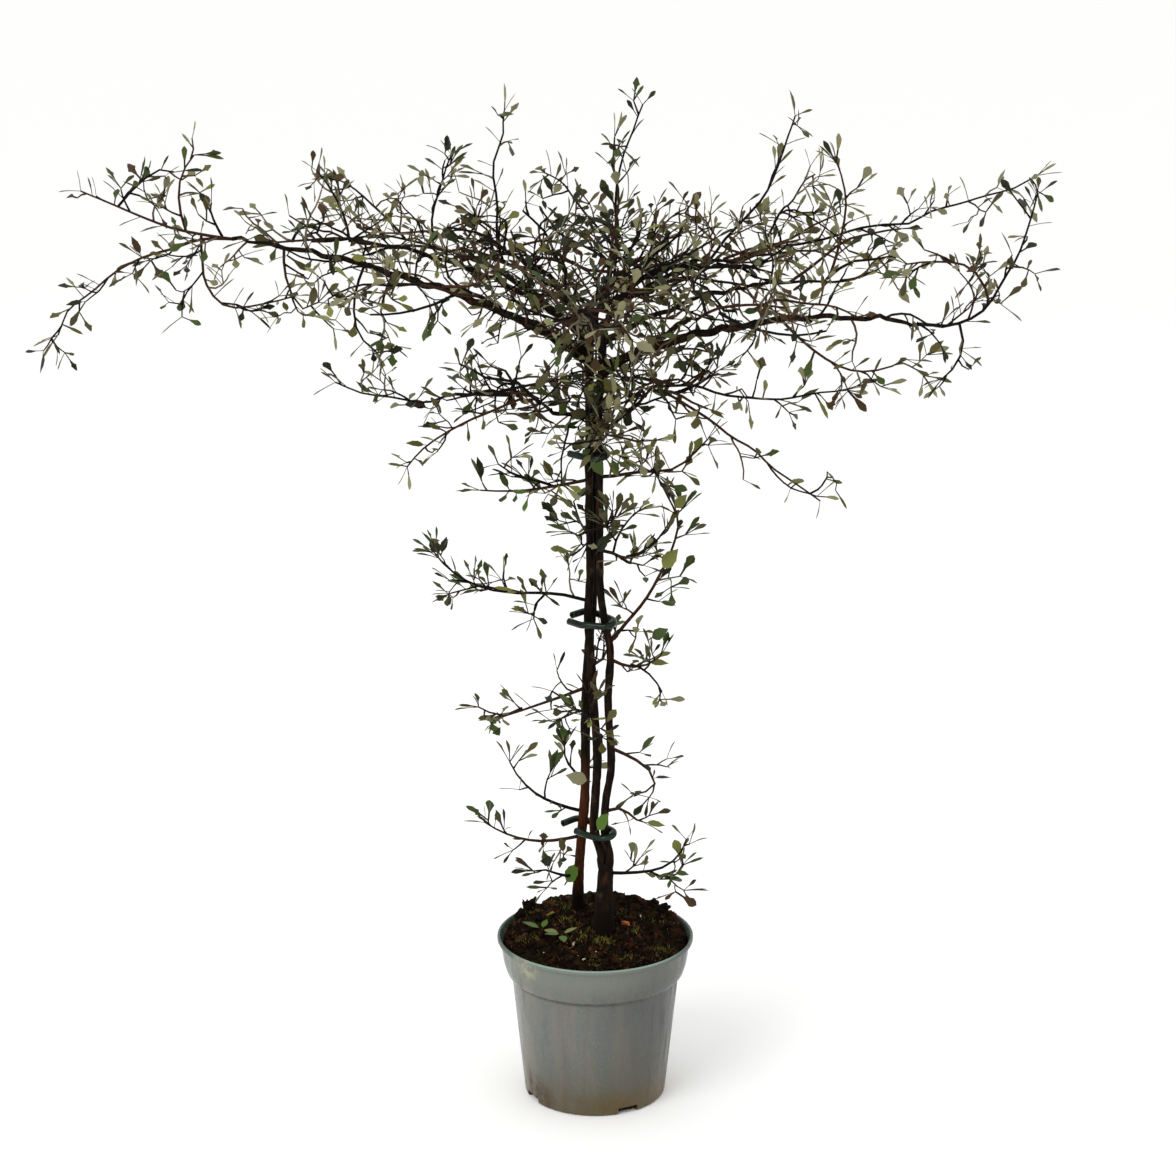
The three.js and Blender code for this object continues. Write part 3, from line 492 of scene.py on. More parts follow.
# A few larger pieces of bark lie where they fell: two dark ones on the far edge, which stand up
# over the lip, an orange one beside the stems and some red ones between.
LARGE_CHIPS = {
    # x, y, height of its middle over the mound, half lengths, turn and tilt
    "large_chips_dark": (chip_dark, (
        (-73, 42, 2.5, (6.5, 5.0, 4.5), 0.4, 0.5), (-68, 48, 6.0, (5.5, 3.6, 4.0), 1.2, 0.9),
        (-62, 53, 9.5, (5.0, 2.4, 2.6), 0.5, 0.4), (-60, 55, 3.5, (6.5, 3.6, 4.2), 2.2, 0.6),
        (-70, 47, 10.5, (4.2, 1.6, 1.4), 2.0, 1.0), (57, 64, 3.6, (6.0, 3.6, 3.4), 0.3, 0.4),
        (66, 57, 4.0, (6.0, 3.6, 2.8), 0.1, 0.3), (71, 52, 4.4, (5.0, 2.2, 1.8), 0.4, 0.5),
        (44, -18, 1.0, (5.2, 3.0, 1.6), 0.5, 0.2))),
    "large_chips_red": (chip_red, (
        (74, 44, 1.5, (6.5, 4.0, 2.4), 0.9, 0.1), (46, 66, 2.2, (6.0, 3.6, 2.4), 2.7, 0.3),
        (24, 74, 2.4, (6.5, 3.0, 2.2), 0.4, 0.4), (8, 70, 2.6, (3.4, 2.2, 4.0), 0.2, 0.2),
        (-26, 72, 2.2, (6.0, 3.2, 2.2), 1.9, 0.3), (-46, 64, 2.2, (6.5, 3.4, 2.0), 2.8, 0.2),
        (-70, -6, 1.0, (5.4, 3.4, 1.6), 0.7, 0.2), (-20, -40, 1.0, (5.8, 3.0, 1.6), 2.2, 0.2))),
    "large_chip_orange": (chip_orange, ((30, 5, 1.4, (5.2, 2.8, 1.6), 2.7, 0.25),)),
    "straws": (grain_pale, (
        (-21, -32, 1.6, (2.6, 0.8, 0.8), 1.3, 0.9), (-12, -57, 1.2, (2.2, 1.0, 0.8), 0.4, 0.3),
        (43, 22, 1.2, (3.4, 1.2, 0.8), 0.9, 0.2))),
    "moss_straw": (moss_thread, ((-44, 28, 1.4, (4.6, 1.2, 1.0), 0.4, 0.3),)),
}
LUMP = dict(subdivisions=3, seed=3.0, apart=7.1, waves=1.7, swell=0.7, fine_waves=2.7, fine_swell=0.5)


def joined(name, corners, triangles, shares=None):
    """A mesh from rows of corners, in millimetres, and of triangles, with a material share each."""
    mesh = bpy.data.meshes.new(name)
    corners = np.asarray(corners, dtype=np.float32) * 0.001
    triangles = np.asarray(triangles, dtype=np.int32)
    mesh.vertices.add(len(corners))
    mesh.vertices.foreach_set("co", corners.ravel())
    mesh.loops.add(triangles.size)
    mesh.loops.foreach_set("vertex_index", triangles.ravel())
    mesh.polygons.add(len(triangles))
    mesh.polygons.foreach_set("loop_start", np.arange(0, triangles.size, 3, dtype=np.int32))
    if shares is not None:
        mesh.polygons.foreach_set("material_index", np.asarray(shares, dtype=np.int32))
    mesh.update(calc_edges=True)
    mesh.validate()
    return mesh


def ragged_lumps(lumps):
    """Corners and triangles of flattened, roughened lumps."""
    ball = bmesh.new()
    bmesh.ops.create_icosphere(ball, subdivisions=LUMP["subdivisions"], radius=1.0)
    corners, triangles = [], []
    for number, (x, y, over, halves, turn, tilt) in enumerate(lumps):
        start = len(corners)
        pose = (Matrix.Translation((x, y, soil_level(x, y) + over)) @ Matrix.Rotation(turn, 4, "Z")
                @ Matrix.Rotation(-tilt, 4, "Y") @ Matrix.Diagonal((*halves, 1.0)))
        for corner in ball.verts:
            spot = corner.co * LUMP["waves"] + Vector((LUMP["apart"] * number + LUMP["seed"], 0, 0))
            swell = 1.0 + LUMP["swell"] * noise.noise(spot)
            swell += LUMP["fine_swell"] * noise.noise(spot * LUMP["fine_waves"])
            corners.append(tuple(pose @ (corner.co * swell)))
        triangles += [[start + corner.index for corner in face.verts] for face in ball.faces]
    ball.free()
    return corners, triangles


for name, (material, lumps) in LARGE_CHIPS.items():
    place_piece(name, joined(name, *ragged_lumps(lumps)), [material], [])

# The stems: three wiry stems, two of them forked from one thick trunk. Their dark bark is finely
# ridged along its length, thickens at each node and flares at the foot.
STEMS = {
    "trunk": dict(radii=(8.6, 7.4), flare=2.6, flare_share=0.6, course=(
        (8, -10, 168), (8, -10, 174), (9, -8, 205), (10, -5, 229), (10, -5, 236))),
    "stem_centre": dict(radii=(4.4, 3.6), flare=0.0, flare_share=0.12, course=(
        (6, -2.6, 236.6), (6, -2.6, 244), (-1, 0, 268), (0, 0, 300), (2, 0, 340), (-2, 0, 400),
        (-5, 0, 450), (-7, 1, 480), (-5, 2, 520), (-6, 2, 600), (-6, 2, 690), (-5, 3, 760))),
    "stem_right": dict(radii=(3.9, 3.3), flare=0.0, flare_share=0.12, course=(
        (13.8, -7.2, 236.6), (13.8, -7.2, 244), (9, -9, 270), (10, -8, 300), (15, -4, 332),
        (12, -4, 400), (14, -3, 448), (9, -6, 476), (5, -8, 505), (4, -8, 540), (4, -8, 600),
        (3, -7, 680), (8, -5, 756))),
    "stem_left": dict(radii=(5.0, 3.4), flare=1.4, flare_share=0.12, course=(
        (-17, 40, 171), (-17, 40, 177), (-16, 27, 215), (-13, 16, 258), (-10, 11, 300),
        (-9, 10, 400), (-6, 10.5, 450), (-2, 11.5, 500), (-1, 11.5, 600), (-4, 11.5, 690),
        (-13, 10, 758))),
}
STEM_STEP = 3.0
STEM_BARK = dict(sides=16, depth=1.5)
RIDGES = {"Ridge count": 2.2, "Knot depth": 0.0016}
FORK = (10, -5, 226.0)
TRUNK_HEAD = (0.97, 0.9, 0.72)
COURSE_STEPS = 60
STEM_POINTS = 400


def evenly(points, count):
    """The same row of points, spaced evenly along its length."""
    gaps = np.linalg.norm(np.diff(points, axis=0), axis=1)
    run = np.concatenate(([0], np.cumsum(gaps)))
    wanted = np.linspace(0, run[-1], count)
    return np.stack([np.interp(wanted, run, points[:, axis]) for axis in range(3)], axis=1)


def course_through(places, count):
    """Evenly spaced points on the smooth course through a few places."""
    places = [np.array(place, float) for place in places]
    ends = [2 * places[0] - places[1], *places, 2 * places[-1] - places[-2]]
    fine = []
    for before, start, end, after in zip(ends, ends[1:], ends[2:], ends[3:]):
        spans = [math.sqrt(np.linalg.norm(b - a)) for a, b in ((before, start), (start, end), (end, after))]
        one, two, three = spans
        leave = ((start - before) / one - (end - before) / (one + two) + (end - start) / two) * two
        reach = ((end - start) / two - (after - start) / (two + three) + (after - end) / three) * two
        for share in np.linspace(0, 1, COURSE_STEPS, endpoint=False):
            cube = 2 * start - 2 * end + leave + reach
            square = 3 * end - 3 * start - 2 * leave - reach
            fine.append(start + share * leave + share ** 2 * square + share ** 3 * cube)
    fine.append(places[-1])
    return evenly(np.array(fine), count)


def length_of(points):
    return float(np.linalg.norm(np.diff(points, axis=0), axis=1).sum())


def stem_girth(name, share):
    stem = STEMS[name]
    thick, thin = stem["radii"]
    return thick + (thin - thick) * share + stem["flare"] * max(0.0, 1 - share / stem["flare_share"]) ** 2


stem_lines = {name: course_through(stem["course"], STEM_POINTS) for name, stem in STEMS.items()}

# The bark: a limb's axis carries its girth at each point. A ring is swept along it, and the
# wall is pushed in and out by ridges that run along the limb and by knots.
bark_relief, given = new_tree(
    "bark_relief", "GeometryNodeTree",
    {"Geometry": "Geometry", "Sides": "Int", "Ridge depth": "Float", "Ridge count": "Float",
     "Knot depth": "Float", "Material": "Material"},
    dict(Geometry="Geometry"))


def measured(curve, measure):
    """A curve that keeps a measure of each point, for the wall that is made of it."""
    node = bark_relief.nodes.new("GeometryNodeCaptureAttribute")
    node.capture_items.new("FLOAT", measure)
    bark_relief.links.new(curve, node.inputs["Geometry"])
    bark_relief.links.new(put(bark_relief, "GeometryNodeSplineParameter")[measure], node.inputs[measure])
    return node.outputs


axis = measured(put(bark_relief, "GeometryNodeMeshToCurve", {"Mesh": given["Geometry"]})["Curve"], "Length")
ring = measured(put(bark_relief, "GeometryNodeCurvePrimitiveCircle", {
    "Resolution": given["Sides"], "Radius": 1.0})["Curve"], "Factor")
girth = put(bark_relief, "GeometryNodeInputNamedAttribute", {"Name": "girth"}, data_type="FLOAT")
wall = put(bark_relief, "GeometryNodeCurveToMesh", {
    "Curve": axis["Geometry"], "Profile Curve": ring["Geometry"], "Scale": girth["Attribute"],
    "Fill Caps": True})
angle = times(bark_relief, ring["Factor"], 2 * math.pi)
wrapped = put(bark_relief, "ShaderNodeCombineXYZ", {
    "X": reckoned(bark_relief, "COSINE", angle), "Y": reckoned(bark_relief, "SINE", angle),
    "Z": times(bark_relief, axis["Length"], 45.0)})
ridges = put(bark_relief, "ShaderNodeTexNoise", {
    "Vector": wrapped["Vector"], "Scale": given["Ridge count"], "Detail": 4.0, "Roughness": 0.65})
knots = put(bark_relief, "ShaderNodeTexNoise", {
    "W": times(bark_relief, axis["Length"], 38.0), "Scale": 1.0, "Detail": 1.0}, noise_dimensions="1D")
ridge_push, knot_push = (
    times(bark_relief, reckoned(bark_relief, "SUBTRACT", bumps["Fac"], 0.5), given[depth])
    for bumps, depth in ((ridges, "Ridge depth"), (knots, "Knot depth")))
offset = put(bark_relief, "ShaderNodeVectorMath", {
    0: put(bark_relief, "GeometryNodeInputNormal")["Normal"],
    "Scale": reckoned(bark_relief, "ADD", ridge_push, knot_push)}, operation="SCALE")
pushed = put(bark_relief, "GeometryNodeSetPosition", {"Geometry": wall["Mesh"], "Offset": offset["Vector"]})
smooth = put(bark_relief, "GeometryNodeSetShadeSmooth", {
    "Geometry": pushed["Geometry"], "Shade Smooth": True})
put_out(bark_relief, smooth["Geometry"], given["Material"])

dark_bark, tree, place = textured("dark_bark", "#1d130c", 0.8, Specular_IOR_Level=0.06)
side, _, height = put(tree, "ShaderNodeSeparateXYZ", {"Vector": place})
upright = put(tree, "ShaderNodeMapping", {"Vector": place, "Scale": (1.0, 1.0, 0.18)})["Vector"]
brown = blotched(tree, upright, 330.0, 0.40, 0.66, "#0b0805", "#21160e")
red = blotched(tree, upright, 120.0, 0.54, 0.72, brown["Colour"], "#3a2012")
grey = blotched(tree, place, 60.0, 0.56, 0.72, red["Colour"], "#3b3224")
bare = times(tree, between(tree, height, 0.175, 0.205, 0.310, 0.350), graded(tree, side, -0.0035, -0.0055))
bark_colour = coated(
    tree, grey["Colour"],
    # red-brown where the bark has peeled, and the bark darker towards its foot
    (times(tree, bare, graded(tree, brown["Mask"], 1.6, -0.6)), "#47230f"),
    (graded(tree, height, 0.215, 0.180), "#0c0704"),
)
feed(tree, Base_Color=bark_colour, Normal=bumped(tree, brown["Mask"], 0.7, 0.0004))


def limb_of_bark(name, points, girths, sides, depth):
    """A stem or bough as a piece, from its axis in millimetres and its girth at each point."""
    line = bpy.data.meshes.new(name + "_axis")
    line.from_pydata([tuple(0.001 * value for value in point) for point in points],
                     [(place, place + 1) for place in range(len(points) - 1)], [])
    kept_girths = line.attributes.new("girth", "FLOAT", "POINT").data
    kept_girths.foreach_set("value", [0.001 * girth for girth in girths])
    mesh = grown("bark_" + name, line, bark_relief, **{
        "Sides": sides, "Ridge depth": 0.001 * depth, "Material": dark_bark}, **RIDGES)
    place_piece("bark_" + name, mesh, [dark_bark], [name])


for name, line in stem_lines.items():
    if name in ("stem_centre", "stem_right"):
        foot = line[0] + (FORK - line[0]) * np.array((0.5, 0.5, 1.0))
        line = np.concatenate((course_through([foot, line[0]], 8)[:-1], line))
    count = int(length_of(line) / STEM_STEP)
    girths = [stem_girth(name, place / (count - 1)) for place in range(count)]
    if name == "trunk":
        girths[-3:] = [girth * share for girth, share in zip(girths[-3:], TRUNK_HEAD)]
    limb_of_bark(name, evenly(line, count), girths, **STEM_BARK)

# The boughs: the main limbs of the crown, which leave the stems with a small collar and end
# where they enter the leaves.
BOUGHS = {
    # the stem that it leaves and at what height, its tip, its bow and its radius at both ends
    "bough_left": ("stem_left", 734, (-330, 0, 838), (0, -8, 17), (4.4, 1.7)),
    "bough_left_upper": ("stem_left", 750, (-198, 42, 826), (0, 0, 14), (3, 1.6)),
    "bough_left_back": ("stem_centre", 738, (-118, 88, 806), (0, 8, 10), (3.2, 1.6)),
    "bough_left_front": ("stem_left", 724, (-104, -84, 800), (-12, 0, 8), (3.4, 1.6)),
    "bough_right": ("stem_right", 720, (302, -50, 768), (0, -6, 24), (4.4, 1.6)),
    "bough_right_outer": ("stem_right", 744, (168, 8, 796), (0, 0, 12), (2.8, 1.5)),
    "bough_right_back": ("stem_centre", 748, (112, 88, 804), (0, 6, 12), (3, 1.6)),
    "bough_right_front": ("stem_right", 712, (92, -98, 784), (10, 0, 10), (3.2, 1.6)),
    "bough_front": ("stem_right", 730, (-10, -118, 792), (-4, 0, 12), (3, 1.6)),
    "bough_back": ("stem_centre", 726, (14, 118, 792), (0, 6, 10), (3.2, 1.6)),
    "bough_low_left": ("stem_left", 671, (-46, -12, 686), (0, 0, -3), (2.4, 1.5)),
    "bough_low_right": ("stem_right", 664, (42, -22, 694), (0, 0, -5), (2.4, 1.5)),
}
BOUGH_STEP = 4.0
BOUGH_POINTS = 200
CURVE_STEPS = 40
BOUGH_STRAY = 1.4
BOUGH_SEED = 40
BOUGH_BARK = dict(sides=10, depth=0.9)
COLLAR_GIRTH, COLLAR_RUN = 1.3, 7.0


def on_axis(name, height):
    """The place on a stem's axis at a height."""
    line = stem_lines[name]
    return np.array([np.interp(height, line[:, 2], line[:, axis]) for axis in range(3)])


def bowed(start, end, bow):
    """The place that a curve from start to end leans towards, so that its middle moves by a bow."""
    return (start + end) / 2 + 2 * np.array(bow, float)


def wandering(points, amount, seed):
    """A row of points that strays from its line a little, with its two ends kept."""
    draw = np.random.default_rng(seed)
    count = len(points)
    knots = max(4, count // 2)
    stray = draw.normal(0, amount, (knots, 3))
    stray[0] = stray[-1] = 0
    spots = np.linspace(0, knots - 1, count)
    return points + np.stack([np.interp(spots, range(knots), stray[:, axis]) for axis in range(3)], axis=1)


bough_lines = {}
for seed, (name, (stem, height, tip, bow, (thick, thin))) in enumerate(BOUGHS.items(), BOUGH_SEED):
    start, end = on_axis(stem, height), np.array(tip, float)
    line = evenly(curved(start, bowed(start, end, bow), end, CURVE_STEPS), BOUGH_POINTS)
    bough_lines[name] = line
    count = int(length_of(line) / BOUGH_STEP)
    runs = BOUGH_STEP * np.arange(count)
    girths = np.linspace(thick, thin, count) + COLLAR_GIRTH * np.exp(-runs / COLLAR_RUN)
    limb_of_bark(name, wandering(evenly(line, count), BOUGH_STRAY, seed), girths, **BOUGH_BARK)

# The ties: short lengths of soft dark green tube, wrapped once round the stems, with both ends
# left long on the left-hand side.
TIES = dict(tie_low=264, tie_middle=474, tie_high=636)
TIE = dict(tube_radius=3.3, rim=0.5, bore=1.8, bore_depth=6.0, end_gap=7.6, tail=18.0, open_turn=0.75,
           slack=0.75, stem_run=745, places=13, steps=90, sides=18, crease=50)


def ringed(places, frames, radii, sides):
    """Corners and triangles of a tube through rings of given centres, frames and radii."""
    turns = np.arange(sides) * 2 * math.pi / sides
    level, across = frames
    rings = places[:, None] + radii[:, None, None] * (
        np.cos(turns)[None, :, None] * level[:, None] + np.sin(turns)[None, :, None] * across[:, None])
    corners = np.concatenate((rings.reshape(-1, 3), places[:1], places[-1:]))
    return corners, tube_triangles(len(places), sides)


@functools.cache
def tube_triangles(count, sides):
    """The triangles of a closed tube with a number of rings and sides."""
    side = np.arange(sides)
    after = (side + 1) % sides
    rows = []
    for ring in range(count - 1):
        low, high = ring * sides, (ring + 1) * sides
        rows.append(np.stack((low + side, low + after, high + after), axis=1))
        rows.append(np.stack((low + side, high + after, high + side), axis=1))
    top, first, last = (count - 1) * sides, np.full(sides, count * sides), np.full(sides, count * sides + 1)
    rows.append(np.stack((first, after, side), axis=1))
    rows.append(np.stack((last, top + side, top + after), axis=1))
    return np.concatenate(rows)


def framed(points):
    """Two directions across a row of points at each of them."""
    along = np.gradient(points, axis=0)
    along /= np.linalg.norm(along, axis=1, keepdims=True) + 1e-12
    aside = np.eye(3)[np.argmin(np.abs(along).max(axis=0))]
    level = np.cross(along, aside)
    level /= np.linalg.norm(level, axis=1, keepdims=True) + 1e-12
    return along, level, np.cross(along, level)


def tie_line(height):
    """The axis of a tie: round the stems at a height, with its two ends led off to the left."""
    rounds = []
    for name in ("stem_centre", "stem_right", "stem_left"):
        thick, thin = STEMS[name]["radii"]
        girth = thick + (thin - thick) * height / TIE["stem_run"]
        rounds.append((on_axis(name, height), girth + TIE["tube_radius"] + TIE["slack"]))
    last = math.pi - TIE["open_turn"]
    band = []
    for share in np.linspace(0, 1, TIE["places"]):
        turn = -last + 2 * last * share
        out = np.array((math.cos(turn), math.sin(turn), 0.0))
        centre, radius = max(rounds, key=lambda one: one[0] @ out + one[1])
        point = centre + out * radius
        point[2] = height + TIE["end_gap"] * share
        band.append(point)
    sine, cosine = math.sin(TIE["open_turn"]), math.cos(TIE["open_turn"])
    start = band[0] - TIE["tail"] * np.array((sine, -cosine, 0.0))
    end = band[-1] + TIE["tail"] * np.array((-sine, -cosine, 0.0))
    return course_through([start, *band, end], TIE["steps"])


soft_tube, tree, place = textured("soft_tube", "#14241c", 0.5, Specular_IOR_Level=0.2)
tube_tone = blotched(tree, place, 90.0, 0.40, 0.66, "#0d1712", "#16261b")
tube_dust = blotched(tree, place, 420.0, 0.58, 0.76, tube_tone["Colour"], "#2c3a2e")
feed(tree, Base_Color=tube_dust["Colour"], Roughness=graded(tree, tube_dust["Mask"], -1.0, 2.4))

for name, height in TIES.items():
    line = tie_line(height)
    along, level, across = framed(line)
    order = [0, 0, 0, *range(len(line)), -1, -1, -1]
    places = line[order]
    places[0] = line[0] + along[0] * TIE["bore_depth"]
    places[-1] = line[-1] - along[-1] * TIE["bore_depth"]
    radii = np.full(len(order), TIE["tube_radius"])
    radii[:2] = radii[-2:] = TIE["bore"]
    radii[2] = radii[-3] = TIE["tube_radius"] - TIE["rim"]
    mesh = joined("grown_" + name, *ringed(places, (level[order], across[order]), radii, TIE["sides"]))
    smoothed(mesh, TIE["crease"])
    place_piece("tube_" + name, mesh, [soft_tube], [name])


# The foliage: every mass of the crown and every side spray grows from its limb by one rule. Its
# leaders zigzag out from the limb's tip, wiry twigs leave them all round, finer twigs leave
# those, and small leaves sit in tufts along both. A few long wands hang from the boughs.
def tangle(on, heart, radii, *sprays):
    """A rounded mass on the tip of a limb: its middle, its reach each way and its sprays."""
    return dict(on=on, height=None, heart=heart, radii=radii, sprays=sprays)


def sprays(on, height, *leaders):
    """Open sprays from a stem at a height, or from the tip of a bough."""
    return dict(on=on, height=height, heart=None, sprays=leaders)


def spray(to, bow=(0, 0, 0), at=None, on_bough=None, kind=None):
    """A leader: its tip, its bow, its share along the first leader or the bough, and its kind."""
    return to, bow, at, on_bough, kind or ("wand" if on_bough else "spray")


MASSES = {
    "crown_heart": tangle(
        "stem_centre", (8, 2, 828), (92, 72, 60),
        spray((49, 0, 972), (-10, 0, 8), 0.6), spray((14, -6, 945), (8, 0, 0), 0.5)),
    "crown_inner_left": tangle(
        "stem_left", (-98, 8, 822), (78, 66, 56), spray((-77, 0, 967), (-10, 0, 6), 0.7)),
    "crown_inner_right": tangle(
        "stem_right", (102, 0, 816), (80, 66, 58), spray((183, 4, 963), (8, 0, -12), 0.8)),
    "crown_left_upper": tangle(
        "bough_left_upper", (-264, 24, 832), (74, 62, 40), spray((-262, 20, 908), (6, 0, 0), 0.3)),
    "crown_left_back": tangle(
        "bough_left_back", (-176, 118, 824), (88, 70, 44),
        spray((-127, 96, 915), (-6, 0, 4), 0.4), spray((-262, 216, 866), (0, 0, 10), 0.7)),
    "crown_left_front": tangle(
        "bough_left_front", (-154, -120, 822), (86, 66, 44), spray((-236, -210, 812), (0, 0, 10), 0.7)),
    "crown_front": tangle(
        "bough_front", (-14, -168, 812), (90, 62, 44), spray((34, -292, 790), (0, 0, 14), 0.6)),
    "crown_back": tangle(
        "bough_back", (10, 174, 812), (94, 66, 44), spray((-58, 304, 862), (0, 0, 10), 0.6)),
    "crown_right_front": tangle(
        "bough_right_front", (138, -134, 804), (86, 64, 46), spray((228, -226, 800), (0, 0, 12), 0.7)),
    "crown_right_back": tangle(
        "bough_right_back", (166, 118, 820), (88, 70, 44),
        spray((423, 70, 892), (0, 10, -10), 0.7), spray((222, 226, 872), (0, 0, 8), 0.5)),
    "crown_right_outer": tangle(
        "bough_right_outer", (232, 8, 812), (74, 62, 44), spray((213, 12, 922), (10, 0, 0), 0.5)),
    "crown_far_left": sprays(
        "bough_left", None,
        spray((-479, 0, 888)), spray((-498, -16, 740), (-8, 0, 26), on_bough=1.0),
        spray((-352, 6, 924), (-14, 0, 0), 0.3), spray((-262, -12, 792), (-34, 0, -34), 0.2),
        spray((-368, 10, 892), (0, 6, 12), 0.75), spray((-338, -12, 884), (-8, 0, 0), 0.06),
        spray((-176, -10, 764), (-16, 0, -12), on_bough=0.56),
        spray((-190, -14, 729), (-16, 0, -6), on_bough=0.64),
        spray((-243, -6, 792), (-6, 0, -28), on_bough=0.86)),
    "crown_far_right": sprays(
        "bough_right", None,
        spray((394, -52, 900)), spray((262, -60, 822), (20, 0, 16), 0.35),
        spray((296, -75, 720), (12, 0, -8), 0.15), spray((292, -50, 745), (0, 0, -28), on_bough=0.56)),
    "low_left": tangle(
        "bough_low_left", (-80, -16, 700), (66, 50, 40),
        spray((-252, -20, 714), (0, 0, -9), 0.6), spray((-182, -34, 622), (-6, 0, 10), 0.4)),
    "low_right": tangle(
        "bough_low_right", (68, -26, 706), (64, 50, 40),
        spray((243, -26, 706), (0, 0, -8), 0.5), spray((218, -34, 592), (0, 0, 5), 0.3, kind="bare")),
    "low_front": sprays(
        "stem_right", 656,
        spray((12, -92, 682), (0, 0, -6)), spray((58, -62, 668), (0, -6, 0), 0.4),
        spray((-42, -66, 664), (0, -6, 0), 0.5)),
    "low_back": sprays(
        "stem_left", 650,
        spray((-14, 104, 694), (0, 0, -8)), spray((48, 70, 690), (0, 8, 0), 0.4),
        spray((-70, 72, 672), (0, 8, 0), 0.5)),
    "side_left_high": sprays(
        "stem_left", 612, spray((-122, -6, 606), (0, 0, -5)), spray((-100, -20, 642), (0, 0, -6), 0.35)),
    "side_left_middle": sprays(
        "stem_left", 492,
        spray((-150, -12, 506), (0, 0, 5)), spray((-158, -18, 560), (-8, 0, -8), 0.5),
        spray((-62, -14, 468), (0, 0, 3), 0.35)),
    "side_left_lower": sprays(
        "stem_left", 408, spray((-108, 2, 372), (0, 0, 3)), spray((-122, -4, 402), (0, 0, -8), 0.7)),
    "side_left_curl": sprays("stem_left", 282, spray((-86, -6, 352), (-10, 0, -10))),
    "side_left_low": sprays("stem_left", 256, spray((-118, -2, 284), (0, 0, -12))),
    "side_left_foot": sprays("stem_left", 213, spray((-72, 10, 226), (0, 0, -3))),
    "side_right_high": sprays(
        "stem_right", 618, spray((114, -14, 664), (0, 0, -12)), spray((58, -34, 612), (0, -4, 6), 0.45)),
    "side_right_arch": sprays("stem_right", 456, spray((46, -18, 640), (36, 0, -4))),
    "side_right_middle": sprays(
        "stem_right", 548,
        spray((56, -28, 558), (0, 0, -7)), spray((50, -4, 520), (4, 0, 2), 0.4),
        spray((44, -26, 600), (-4, 0, -4), 0.3), spray((70, -16, 584), (4, 0, -6), 0.6)),
    "side_right_lower": sprays(
        "stem_right", 440, spray((72, -10, 454), (0, 0, -9)), spray((62, -14, 396), (8, 0, 8), 0.4)),
    "side_right_hook": sprays("stem_right", 352, spray((22, -8, 302), (38, 0, -2))),
    "side_right_low": sprays("stem_right", 290, spray((58, -14, 272), (0, 0, 4))),
    "side_right_foot": sprays(
        "trunk", 226, spray((90, -16, 278), (14, 0, -16)), spray((94, -12, 246), (0, 0, -6), 0.45)),
    "side_front_high": sprays(
        "stem_centre", 566, spray((-22, -64, 582), (0, 0, -5)), spray((22, -46, 604), (0, 0, -4), 0.3)),
    "side_front_low": sprays(
        "stem_centre", 386,
        spray((-10, -58, 402), (0, 0, -5)), spray((14, -40, 372), (0, 0, -4), 0.3),
        spray((-40, -24, 392), (0, 0, 3), 0.3)),
    "side_back_high": sprays(
        "stem_left", 552, spray((-24, 98, 580), (0, 0, -8)), spray((26, 84, 562), (0, 0, -4), 0.5)),
    "side_back_middle": sprays("stem_left", 430, spray((24, 88, 452), (0, 0, -8))),
    "side_back_low": sprays("stem_left", 312, spray((-34, 84, 336), (0, 0, -8))),
}

# Sizes of the growth in millimetres and radians: in a tangle, and then on sprays, boughs, shoots,
# hanging wands, a nearly bare twig and up the stems. A wire is the step, kink and bend of a twig.
GROWTH = dict(
    fan=8, fan_girths=(1.8, 1.0), leader_girths=(1.9, 1.0), leader_step=11.0, leader_kink=3.6,
    room_for_leaf=15.0, edge=(0.75, 1.35), level=0.6, lift=0.02, rise=0.25,
    twig_spacing=29.0, twig_reach=(45.0, 130.0), twig_girths=(1.45, 0.8), twig_spread=0.85,
    twig_wire=(8.0, 0.15, 0.22),
    fine_spacing=27.0, fine_reach=(14.0, 50.0), fine_girths=(1.0, 0.65), fine_spread=1.0,
    fine_wire=(6.0, 0.2, 0.33),
    leaf_spacing=18.0, leaf_length=(15.0, 26.0), leaf_width=0.34, along=(1, 1), tips=(1, 2),
)
FAN = dict(reach=0.9, stem_reach=0.55, first_root=0.1, root_step=0.19, aside=60, rise=36,
           heights=(0.85, -0.6, 0.5, -0.1, 0.2, -0.8, 0.7, -0.4))
TWIG = dict(spread=(0.75, 1.25), fine_spread=(0.7, 1.3), first_reach=1.15, taper=0.8)
TUFT = dict(spread=(0.25, 1.2), more_along=0.3, lean=0.6, width=(0.8, 1.15), spacing_on_twigs=1.5,
            first_seat=0.25)
INNER_GROWTH = dict(GROWTH, fan=7, twig_spacing=44.0)
OUTER_GROWTH = dict(GROWTH, fan=5, fan_girths=(1.6, 0.9), twig_spacing=92.0, leaf_spacing=21.0)
SPARSE_GROWTH = dict(OUTER_GROWTH, fan=3, twig_spacing=100.0, leaf_spacing=12.0, edge=(0.55, 1.05))
LOW_GROWTH = dict(GROWTH, fan=6, twig_spacing=44.0, edge=(0.6, 1.3))
OPEN_GROWTH = dict(
    GROWTH, leader_girths=(1.4, 0.8), leader_kink=2.8, level=1.0, seat_spacing=24.0,
    twig_spacing=22.0, twig_reach=(18.0, 52.0), twig_girths=(1.2, 0.75),
    fine_spacing=22.0, fine_reach=(8.0, 22.0), fine_girths=(0.85, 0.6),
    leaf_spacing=12.5, leaf_length=(16.0, 27.0), leaf_width=0.33, tips=(1, 3))
WAND_GROWTH = dict(
    OPEN_GROWTH, twig_spacing=34.0, twig_reach=(10.0, 34.0), tips=(2, 4), leader_girths=(1.5, 0.8))
